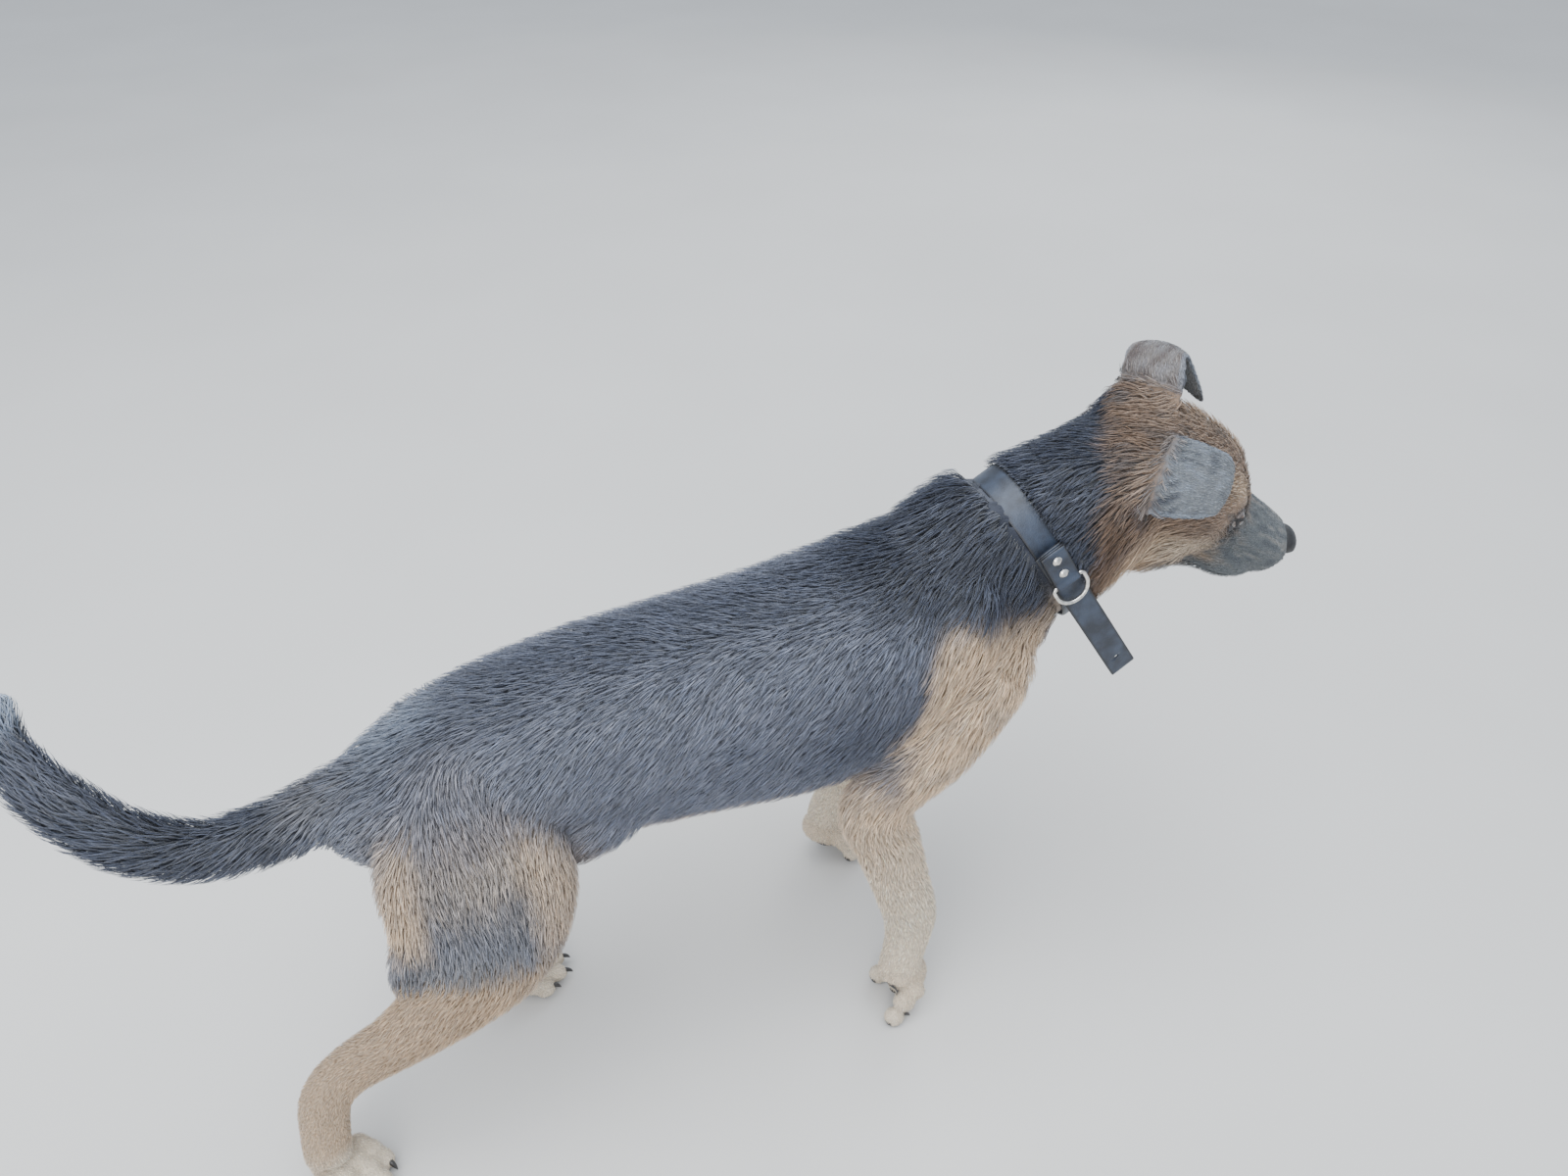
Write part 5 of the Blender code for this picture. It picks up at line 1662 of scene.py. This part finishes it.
    def _loose_end(self) -> None:
        """The strap past the fold: slightly bowed, with a hole near its squared end."""
        along = np.linspace(-self.fold_length, self.loose_end, 90)
        bow = 0.10 * np.sin(pi * np.clip(along / self.loose_end, 0, 1))
        corner = np.clip((self.loose_end - along) / 0.25, 0.02, 1) ** 0.5
        across, through = self._section(self.width, self.leather - self.gap)
        middle = self.gap + (self.leather - self.gap) / 2 + self.gap
        x = np.repeat(along[:, None], len(across), 1)
        y = across * (0.92 + 0.08 * corner)[:, None]
        z = middle + bow[:, None] + through * np.minimum(corner * 1.4, 1)[:, None]
        rings = moved(self.loose_frame, np.stack([x, y, z], -1))
        piece = self._strip("collar_loose_end", rings, "collar_strap_end")
        self._edge_values(piece, across, len(along), capped=True)
        hole_at = self.loose_frame @ Matrix.Translation((self.loose_end - self.hole_from_end, 0, middle))
        line = np.array([(0, 0, h) for h in np.linspace(-0.6, 0.6, 5)])
        corners, faces = tube(line, np.full(5, self.hole), np.array([1.0, 0, 0]), sides=24)
        drill = mesh_object("drill", corners, faces, WORLD @ hole_at)
        cut = piece.modifiers.new("hole", "BOOLEAN")
        cut.operation, cut.solver, cut.object = "DIFFERENCE", "EXACT", drill
        graph = bpy.context.evaluated_depsgraph_get()
        piece.data = bpy.data.meshes.new_from_object(piece.evaluated_get(graph), depsgraph=graph)
        piece.modifiers.clear()
        bpy.data.objects.remove(drill)


# ---------------------------------------------------------------- skin


def vectors_of(rows: bpy.types.bpy_prop_collection, name: str) -> Array:
    """A vector of each item of a mesh's table, one row each."""
    values = np.empty(len(rows) * 3, np.float32)
    rows.foreach_get(name, values)
    return values.reshape(-1, 3).astype(float)


def corners_of(mesh: bpy.types.Mesh) -> Array:
    """The corners of a mesh, one row each."""
    return vectors_of(mesh.vertices, "co")


def directions_of(mesh: bpy.types.Mesh) -> Array:
    """The direction of the surface at each corner of a mesh."""
    return vectors_of(mesh.vertex_normals, "vector")


def set_corners(mesh: bpy.types.Mesh, points: Array) -> None:
    """Moves the corners of a mesh."""
    mesh.vertices.foreach_set("co", points.astype(np.float32).ravel())
    mesh.update()


def relax(mesh: bpy.types.Mesh, strength: Array, passes: int) -> None:
    """Smooths a mesh by drawing each corner towards the middle of its neighbours.

    Args:
        mesh: The mesh.
        strength: How far each corner goes in one pass, from 0 to 1.
        passes: How often it is done.
    """
    points = corners_of(mesh)
    ends = np.empty(len(mesh.edges) * 2, np.int32)
    mesh.edges.foreach_get("vertices", ends)
    near, far = np.concatenate([ends[::2], ends[1::2]]), np.concatenate([ends[1::2], ends[::2]])
    number = np.maximum(np.bincount(near, minlength=len(points)), 1)
    for _ in range(passes):
        sums = np.stack([np.bincount(near, points[far, k], len(points)) for k in range(3)], 1)
        points += (sums / number[:, None] - points) * strength[:, None]
    set_corners(mesh, points)


class Skin:
    """The one skin that stands for all the nodes of flesh: fused masses, refined at the head."""

    VOXEL = 0.27
    UNDER_BAND = 0.22  # how far inside the leather the neck ends
    SMOOTHING, KEPT = 0.5, 0.28  # how much the fused form is relaxed, and how much less it is on small forms
    SOLE = 0.03  # height of the lowest skin over the floor
    BODY_SHARE = 0.30  # of its triangles that the plain parts keep
    FLESH = ("head", "neck", "trunk", "tail_root", "tail_tip")
    LIMBS = ("foreleg", "forepaw", "thigh", "shank", "hindpaw", "ear")

    def __init__(self, compass: Compass, collar: Collar) -> None:
        """Makes the mesh, still on the plan.

        Args:
            compass: Tells the parts of the body apart.
            collar: Presses the neck in.
        """
        self.compass, self.collar = compass, collar
        self.mesh = self._fused()
        self._thin()
        self._refine(lambda head: (head[:, 0] > 7.5) & (np.abs(head[:, 1]) < 9))
        self._refine(lambda head: eye_distance(head) < 2.3)
        self._sculpt()
        self.points, self.normals = corners_of(self.mesh), directions_of(self.mesh)

    def _fused(self) -> bpy.types.Mesh:
        """The masses of flesh and the ears blended into one surface."""
        parts = [course.flesh() for course in (*COURSES, JAW)]
        parts += [muscle.flesh() for muscle in muscles()]
        parts += [bead.flesh() for paw in PAWS for bead in paw.beads()]
        parts += [ear.flesh() for ear in EARS]
        rough = mesh_object("dog_skin", *joined(parts), Matrix())
        fuse = rough.modifiers.new("fuse", "REMESH")
        fuse.mode, fuse.voxel_size = "VOXEL", self.VOXEL
        mesh = applied(rough)
        reading = self.compass.read(corners_of(mesh), directions_of(mesh))
        detail = np.clip(reading.of("paw") + 0.6 * reading.ear, 0, 1)
        relax(mesh, self.SMOOTHING - self.KEPT * detail, passes=7)
        return mesh

    def _thin(self) -> None:
        """Drops corners where the coat is long and the form is plain."""
        reading = self.compass.read(corners_of(self.mesh), directions_of(self.mesh))
        detail = np.clip(reading.of("head", "paw") + reading.ear, 0, 1)
        source = linked("thinning", self.mesh)
        group = source.vertex_groups.new(name="plain")
        group.add(np.nonzero(detail < 0.3)[0].tolist(), 1.0, "REPLACE")
        step = source.modifiers.new("thin", "DECIMATE")
        step.vertex_group, step.ratio = group.name, self.BODY_SHARE
        self.mesh = applied(source)

    def _refine(self, chosen: Callable[[Array], Array]) -> None:
        """Divides the edges whose ends are both chosen.

        Args:
            chosen: Tells of points in the head's frame which are.
        """
        points = corners_of(self.mesh)
        inside = chosen(moved(HEAD.inverted(), points))
        bm = bmesh.new()
        bm.from_mesh(self.mesh)
        bm.verts.ensure_lookup_table()
        edges = [edge for edge in bm.edges if inside[edge.verts[0].index] and inside[edge.verts[1].index]]
        bmesh.ops.subdivide_edges(bm, edges=edges, cuts=1, use_grid_fill=True)
        bm.to_mesh(self.mesh)
        bm.free()
        relax(self.mesh, 0.4 * chosen(moved(HEAD.inverted(), corners_of(self.mesh))), 2)

    def _sculpt(self) -> None:
        """Shapes the face, presses the neck under the collar and sets the feet on the floor."""
        points, normals = corners_of(self.mesh), directions_of(self.mesh)
        half = mirrored(moved(HEAD.inverted(), points))
        x, side, z = half.T
        front = soft(x, 11.0, 13.0) * (np.linalg.norm(points - np.array(HEAD.translation), axis=1) < 27)
        close = soft(eye_distance(half), 9, 6)
        lips = 0.32 * hump(z - mouth_height(x), 0.19) * soft(x, 11.8, 12.8)
        parting = 0.12 * hump(side, 0.10) * soft(x, 22.2, 22.8) * soft(z, -0.9, -1.2) * soft(z, -3.1, -2.7)
        furrow = 0.16 * hump(side, 0.55) * soft(x, 7, 10) * soft(x, 15, 12.5) * soft(z, 1, 2)
        sink = lips * front + parting * front + furrow * close
        sink += 0.20 * dome(half, (14.3, 3.0, -0.1), 1.1) * close
        sink += 0.22 * dome(half, (8.4, 5.0, 3.5), 1.5) * close
        swell = 0.12 * dome(half, (11.6, 3.0, 3.5), 0.9) * close
        points -= normals * (sink - swell)[:, None]
        for side_of in Side:
            points = Eye(side_of).sculpt(points)
        points = self.collar.press(points, self.UNDER_BAND)
        points[:, 2] = np.maximum(points[:, 2], self.SOLE)
        set_corners(self.mesh, points)

    def build(self) -> None:
        """Colours the mesh and puts it in the scene for all the nodes of flesh."""
        markings = Markings(self.compass.read(self.points, self.normals))
        set_values(self.mesh, "Markings", markings.skin())
        self.mesh.transform(WORLD)
        self.mesh.shade_smooth()
        piece = dressed(linked("dog_skin", self.mesh), SKIN.material())
        pairs = [f"{limb}_{side.label}" for limb in self.LIMBS for side in Side]
        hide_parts(*self.FLESH, *pairs)


# ---------------------------------------------------------------- coat


@dataclass(frozen=True)
class Tuft:
    """The form of one tuft: a flattened spindle with a ridge, drawn out to a point."""

    shares: tuple[float, ...]  # of its length, where its rings are; the last is its tip
    widths: tuple[float, ...]  # of the rings, against its full width
    RIDGE = 0.38  # how thick it is, against its width

    @property
    def corners(self) -> int:
        """How many corners it has."""
        return 2 + 3 * len(self.widths)

    def faces(self) -> Array:
        """Its triangles: a fan at the root, a band between rings and a fan to the tip."""
        rings = [(1 + 3 * k, 2 + 3 * k, 3 + 3 * k) for k in range(len(self.widths))]
        tip, made = self.corners - 1, []
        for a, b in ((0, 1), (1, 2), (2, 0)):
            made.append((0, rings[0][a], rings[0][b]))
            for near, far in zip(rings, rings[1:]):
                made += [(near[a], far[a], far[b]), (near[a], far[b], near[b])]
            made.append((rings[-1][a], tip, rings[-1][b]))
        return np.array(made)


LONG = Tuft(shares=(0.34, 0.70, 1.0), widths=(1.0, 0.66))
SHORT = Tuft(shares=(0.42, 1.0), widths=(0.95,))


class Coat:
    """The fur: closed tufts that lie along the body, in pieces named for the parts they cover."""

    THICKNESS = 44.0  # tufts on a square centimetre, times their length
    SPARSE = 0.95  # how much short hair is thinned against that
    LONG_FROM = 1.15  # hair of this length or more is drawn with two rings
    CLING = 0.86  # how closely hair follows the form under it
    PATCH = 0.003  # width of a tuft's patch on the unwrap
    MARGIN = 0.02  # of the unwrap
    THIGH_END = 0.30  # share of the hind leg's length
    UNDERCOAT = 0.3  # share of the tufts that are shorter and lower than the rest
    UNDER_LENGTH = 0.62  # of the undercoat, against the hair's length
    HEIGHTS = (0.5, 0.82)  # of the tips of undercoat and of hair, against the coat's depth
    BURIED = 0.05  # how deep a root is under the skin
    SPIN = 0.13  # how much the tufts' directions scatter, in radians
    WIDTH = (0.050, 0.033)  # of a tuft: at no length, and more for each centimetre of hair
    TONE, WARMTH = 0.21, 0.03  # how much the tufts' colours scatter
    ROOT_SHADE = 0.75  # how dark a root is, against the markings
    QUICK = 0.2
    LID_CLEAR, NOSE_CLEAR = 1.36, 1.12  # no hair nearer to an eye's centre, or to the nose against its size
    SOLE = 0.02  # height of the lowest hair over the floor
    STEMS = {"head": "head", "neck": "neck", "chest": "trunk", "loin": "trunk", "tail": "tail"}
    DARK = ("neck", "chest", "loin", "tail")  # parts of the coat: neck, chest, loin and tail

    def __init__(self, skin: Skin, compass: Compass, collar: Collar) -> None:
        """Sows the tufts over the skin.

        Args:
            skin: The skin they grow on.
            compass: Tells how the hair runs.
            collar: Parts and presses it.
        """
        self.compass, self.collar = compass, collar
        self.random = np.random.default_rng(SEED)
        skin.mesh.calc_loop_triangles()
        corners = np.empty(len(skin.mesh.loop_triangles) * 3, np.int32)
        skin.mesh.loop_triangles.foreach_get("vertices", corners)
        self.triangles = corners.reshape(-1, 3)
        self.tree = BVHTree.FromPolygons(skin.points.tolist(), self.triangles.tolist())
        points, normals = self._sow(skin)
        self.reading = compass.read(points, normals)
        self.markings = Markings(self.reading)
        self.keep = self._kept()

    def _sow(self, skin: Skin) -> tuple[Array, Array]:
        """Chooses the roots: many where the hair is short, evenly spread.

        Args:
            skin: The skin they grow on.

        Returns:
            Their places, and the skin's direction at each.
        """
        reading = self.compass.read(skin.points, skin.normals)
        a, b, c = (skin.points[self.triangles[:, k]] for k in range(3))
        area = np.linalg.norm(np.cross(b - a, c - a), axis=1) / 2
        hair = reading.hair[self.triangles].mean(1)
        wanted = area * self.THICKNESS / (hair + self.SPARSE) * 1.0
        total = np.cumsum(wanted)
        count = int(total[-1])
        chosen = np.searchsorted(total, (np.arange(count) + self.random.random(count)) * total[-1] / count)
        chosen = np.minimum(chosen, len(total) - 1)
        one, two = np.sqrt(self.random.random(count)), self.random.random(count)
        weights = np.stack([1 - one, one * (1 - two), one * two], 1)
        corner = self.triangles[chosen]
        points = (skin.points[corner] * weights[..., None]).sum(1)
        return points, unit((skin.normals[corner] * weights[..., None]).sum(1))

    def _kept(self) -> Array:
        """Which roots grow hair: not on pads, lips, lids or nose, under the band or against the floor."""
        reading = self.reading
        head = reading.head
        eye = eye_distance(head)
        size = np.array(Nose.radii) * self.NOSE_CLEAR
        nose = np.linalg.norm((head - np.array(Nose.at)) / size, axis=1)
        lips = (np.abs(head[:, 2] - mouth_height(head[:, 0])) < 0.15) & (head[:, 0] > 12.6)
        lips &= reading.share["head"] > 0.5
        ahead, ratio = self.collar.beside(reading.points)
        band = (np.abs(ahead) < self.collar.width / 2 + 0.02) & (ratio < 1.3)
        z = reading.points[:, 2]
        floor = (z < 0.12) | ((z < 0.4) & (reading.normals[:, 2] < -0.5))
        return ~((self.markings.bare > 0.4) | (eye < self.LID_CLEAR) | (nose < 1) | lips | band | floor)

    def _lengths(self) -> tuple[Array, Array]:
        """The length of each tuft and how high its tip stands, with undercoat below the longer hair."""
        reading = self.reading
        count = len(reading.points)
        under = self.random.random(count) < self.UNDERCOAT
        length = reading.hair * np.where(under, self.UNDER_LENGTH, 1.0)
        length = length * self.random.uniform(0.75, 1.15, count)
        height = reading.depth * np.where(under, *self.HEIGHTS) * self.random.uniform(0.65, 1.2, count)
        ahead, ratio = self.collar.beside(reading.points)
        room = ahead - self.collar.width / 2 + self.random.uniform(-0.1, 0.5, count)
        stopped = (ahead > 0) & (ratio < 1.4) & (reading.ear < 0.3)
        stopped &= reading.of("neck", "trunk", "head") > 0.5
        length = np.where(stopped, np.minimum(length, np.maximum(room, 0.45)), length)
        return length, height

    def _drape(self, tuft: Tuft, chosen: Array, length: Array, height: Array) -> tuple[Array, Array, Array]:
        """Walks each tuft over the skin.

        Args:
            tuft: Its form.
            chosen: Which roots have it.
            length: Of every tuft.
            height: Of every tuft's tip over the skin.

        Returns:
            The places, directions and outward sides of root and rings, one row a tuft.
        """
        place = self.reading.points[chosen]
        normal = self.reading.normals[chosen]
        spin = self.random.normal(0, self.SPIN, len(chosen))
        ahead = self.reading.flow[chosen]
        ahead = ahead * np.cos(spin)[:, None] + np.cross(normal, ahead) * np.sin(spin)[:, None]
        places, aheads, normals = [place - normal * self.BURIED], [ahead], [normal]
        before, surface = 0.0, place
        for share in tuft.shares:
            step = (length[chosen] * (share - before))[:, None]
            found = [self.tree.find_nearest(point) for point in (surface + ahead * step).tolist()]
            surface_next = np.array([hit[0] for hit in found])
            normal_next = np.array([hit[1] for hit in found])
            mixed = unit(normal * 0.5 + normal_next * 0.5)
            rise = (height[chosen] * (1 - (1 - share) ** 1.7))[:, None]
            free = places[-1] + ahead * step + normal * rise * 0.3
            held = surface_next + mixed * rise
            places.append(held * self.CLING + free * (1 - self.CLING))
            ahead = unit(ahead - mixed * (ahead * mixed).sum(1)[:, None])
            aheads.append(ahead)
            normals.append(mixed)
            surface, normal, before = surface_next, mixed, share
        return np.stack(places, 1), np.stack(aheads, 1), np.stack(normals, 1)

    def _grow(self, tuft: Tuft, chosen: Array, length: Array, height: Array) -> dict[str, Array]:
        """Makes the tufts at chosen roots.

        Args:
            tuft: Their form.
            chosen: Which roots have it.
            length: Of every tuft.
            height: Of every tuft's tip over the skin.

        Returns:
            Their corners, faces, colours and places on the unwrap, by those names.
        """
        places, aheads, normals = self._drape(tuft, chosen, length, height)
        hair = self.reading.hair[chosen]
        least, more = self.WIDTH
        width = (least + more * hair) * self.random.uniform(0.75, 1.25, len(chosen))
        count = len(chosen)
        corners = np.empty((count, tuft.corners, 3))
        corners[:, 0], corners[:, -1] = places[:, 0], places[:, -1]
        patch = np.zeros((tuft.corners, 2))
        patch[-1] = (1, 0)
        for k, share in enumerate(tuft.widths):
            wide = (width * share)[:, None]
            across = np.cross(aheads[:, k + 1], normals[:, k + 1])
            middle = places[:, k + 1]
            corners[:, 1 + 3 * k] = middle - across * wide / 2
            corners[:, 2 + 3 * k] = middle + across * wide / 2
            corners[:, 3 + 3 * k] = middle + normals[:, k + 1] * wide * tuft.RIDGE
            patch[1 + 3 * k : 4 + 3 * k] = [(tuft.shares[k], aside) for aside in (-0.5, 0.5, 0)]
        corners = self.collar.comb(corners.reshape(-1, 3)).reshape(corners.shape)
        corners[..., 2] = np.maximum(corners[..., 2], self.SOLE)
        faces = tuft.faces()[None] + (np.arange(count) * tuft.corners)[:, None, None]
        return {
            "corners": corners.reshape(-1, 3),
            "faces": faces.reshape(-1, 3),
            "colours": self._colours(tuft, chosen).reshape(-1, 3),
            "unwrap": (self.unwrap[chosen][:, None] + patch * self.PATCH).reshape(-1, 2),
        }

    def _colours(self, tuft: Tuft, chosen: Array) -> Array:
        """The colours of tufts: root, middle and tip of the markings, each tuft a little its own.

        Args:
            tuft: Their form.
            chosen: Their roots.

        Returns:
            The colour of each corner, a row a tuft.
        """
        stages = self.markings.stages[chosen]
        tone = np.exp(self.random.normal(0, self.TONE, len(chosen)))[:, None]
        warmth = self.random.normal(0, self.WARMTH, len(chosen))[:, None] * np.array([1, 0.2, -1])
        rings = len(tuft.widths)
        colours = np.empty((len(chosen), tuft.corners, 3))
        colours[:, 0], colours[:, -1] = stages[:, 0] * self.ROOT_SHADE, stages[:, 2]
        for k in range(rings):
            share = 0.5 if rings == 1 else 0.25 + 0.5 * k
            low, high = (stages[:, 0], stages[:, 1]) if share < 0.5 else (stages[:, 1], stages[:, 2])
            mix = share * 2 if share < 0.5 else share * 2 - 1
            colours[:, 1 + 3 * k : 4 + 3 * k] = (low * (1 - mix) + high * mix)[:, None]
        return np.clip(colours * (tone * (1 + warmth))[:, None], 0, 0.95)

    def _parts(self) -> Array:
        """The name of the piece that each tuft belongs to."""
        reading = self.reading
        fore = reading.points[:, 0] > 2
        groups = {name: reading.share[name] for name in ("head", "neck", "trunk", "tail")}
        for side in Side:
            groups[f"foreleg_{side.label}"] = reading.of(f"fore_{side.label}", f"forepaw_{side.label}")
            groups[f"hindleg_{side.label}"] = reading.of(f"hind_{side.label}", f"hindpaw_{side.label}")
        names = np.array(list(groups), object)[np.argmax(list(groups.values()), axis=0)]
        sides = np.where(reading.points[:, 1] > 0, "left", "right").astype(object)
        names = np.where(names == "trunk", np.where(fore, "chest_", "loin_").astype(object) + sides, names)
        names = np.where(names == "neck", "neck_" + sides, names)
        for side in Side:
            hind = f"hind_{side.label}"
            high = (reading.along[hind] < self.THIGH_END) & (reading.share[hind] > 0.5)
            names[high & (names == f"hindleg_{side.label}")] = f"thigh_{side.label}"
        ear_side = np.where(reading.head[:, 1] > 0, "left", "right").astype(object)
        return np.where(reading.ear > 0.5, "ear_" + ear_side, names)

    def _unwrapped(self, parts: Array) -> Array:
        """Places the roots on an unwrap of their own part.

        Args:
            parts: The part's name for each root.

        Returns:
            How far along the part each root is, and how far round it.
        """
        reading = self.reading
        place = np.zeros((len(parts), 2))
        for part in set(parts):
            mine = parts == part
            stem, _, side = part.partition("_")
            if stem == "ear":
                place[mine, 0] = reading.ear_along[mine]
                place[mine, 1] = (reading.ear_across[mine] + 1) / 4 + 0.5 * reading.ear_inside[mine]
            elif stem in self.STEMS:
                place[mine, 0] = reading.along[self.STEMS[stem]][mine]
                place[mine, 1] = reading.around[self.STEMS[stem]][mine]
            else:
                limb = "fore" if stem == "foreleg" else "hind"
                leg, paw = f"{limb}_{side}", f"{limb}paw_{side}"
                on_paw = reading.share[paw][mine] > reading.share[leg][mine]
                up, down = reading.along[leg][mine] * 0.8, 0.8 + 0.2 * reading.along[paw][mine]
                place[mine, 0] = np.where(on_paw, down, up)
                place[mine, 1] = np.where(on_paw, reading.around[paw][mine], reading.around[leg][mine])
        return self.MARGIN + (1 - 2 * self.MARGIN) * np.clip(place, 0, 1)

    def build(self) -> None:
        """Grows every piece of the coat."""
        length, height = self._lengths()
        parts = self._parts()
        self.unwrap = self._unwrapped(parts)
        long = self.reading.hair > self.LONG_FROM
        for part in sorted(set(parts)):
            mine = self.keep & (parts == part)
            grown = [
                self._grow(tuft, np.nonzero(mine & (long == is_long))[0], length, height)
                for tuft, is_long in ((LONG, True), (SHORT, False))
                if (mine & (long == is_long)).any()
            ]
            corners, faces = joined([(one["corners"], one["faces"]) for one in grown])
            piece = mesh_object(f"coat_{part}", corners, faces)
            set_values(piece.data, "Markings", np.concatenate([one["colours"] for one in grown]))
            layer = piece.data.uv_layers.new(name="OFBake")
            places = np.concatenate([one["unwrap"] for one in grown])[faces.ravel()]
            layer.data.foreach_set("uv", places.astype(np.float32).ravel())
            dressed(piece, FUR.material())
            LOG.info("coat_%s: %d triangles", part, len(faces))


# ---------------------------------------------------------------- studio


@dataclass(frozen=True)
class Studio:
    """A pale floor, soft light and the camera, which looks down on the dog's right side."""

    camera_at: Point = (-0.2669, -0.8165, 1.196)  # metres
    heading: float = 21.5  # degrees from +Y towards +X
    downward: float = 37.3
    roll: float = 0.2
    lens: float = 27.43  # mm
    sensor: float = 36.0  # mm across
    floor_size: float = 14.0
    floor_sink: float = 0.0004  # how far the floor is under the paws
    lit: Point = (0, 0, 0.35)  # where the lights point
    surround: tuple[float, ...] = (0.80, 0.88, 1.0, 1)
    surround_strength: float = 1.05

    def build(self) -> None:
        """Builds all of it."""
        self._floor()
        self._lights()
        self._camera()

    def _floor(self) -> None:
        """A flat floor, larger than the camera can see."""
        half = self.floor_size / 2
        corners = np.array([(-half, -half, 0), (half, -half, 0), (half, half, 0), (-half, half, 0)])
        corners = corners - np.array([0, 0, self.floor_sink])
        floor = mesh_object("studio_floor", corners, np.array([[0, 1, 2, 3]]), Matrix())
        floor.data.materials.append(FloorFinish().material())

    def _lights(self) -> None:
        """A broad soft light overhead, a weaker one from the camera's side and a cool even surround."""
        for name, at, size, power, colour in (
            ("overhead", (-0.6, -0.4, 3.4), 3.6, 178.0, (0.95, 0.98, 1.0)),
            ("near_fill", (-2.2, -3.0, 1.6), 2.4, 84.0, (1.0, 0.98, 0.95)),
            ("far_fill", (2.6, 2.6, 2.2), 2.4, 42.0, (0.93, 0.97, 1.0)),
        ):
            light = bpy.data.lights.new(name, "AREA")
            light.shape, light.size, light.energy, light.color = "DISK", size, power, colour
            lamp = bpy.data.objects.new(name, light)
            bpy.context.scene.collection.objects.link(lamp)
            lamp.location = at
            lamp.rotation_euler = (Vector(self.lit) - Vector(at)).to_track_quat("-Z", "Y").to_euler()
        world = bpy.data.worlds.new("surround")
        world.use_nodes = True
        surround = world.node_tree.nodes["Background"]
        surround.inputs["Color"].default_value = self.surround
        surround.inputs["Strength"].default_value = self.surround_strength
        bpy.context.scene.world = world

    def _camera(self) -> None:
        """The camera at the view's own angle and framing."""
        data = bpy.data.cameras.new("camera")
        data.sensor_width, data.lens = self.sensor, self.lens
        data.clip_start, data.clip_end = 0.02, 60.0
        camera = bpy.data.objects.new("camera", data)
        bpy.context.scene.collection.objects.link(camera)
        turn = Euler((pi / 2 - radians(self.downward), 0, -radians(self.heading))).to_matrix().to_4x4()
        turn = turn @ Matrix.Rotation(radians(-self.roll), 4, "Z")
        camera.matrix_world = Matrix.Translation(self.camera_at) @ turn
        bpy.context.scene.camera = camera


def main() -> None:
    """Builds the dog in its order: skin, coat, eyes, nose and claws, then the collar and the studio."""
    logging.basicConfig(level=logging.INFO, format="%(name)s: %(message)s")
    collar = Collar()
    compass = Compass((*COURSES, *(paw.course() for paw in PAWS)), EARS)
    skin = Skin(compass, collar)
    LOG.info("skin: %d corners", len(skin.points))
    Coat(skin, compass, collar).build()
    skin.build()
    for side in Side:
        Eye(side).build()
    LOG.info("eyes and lids")
    Nose().build()
    build_claws()
    LOG.info("nose and claws")
    collar.build()
    LOG.info("collar")
    Studio().build()
    bpy.context.view_layer.update()


if __name__ == "__main__":
    main()
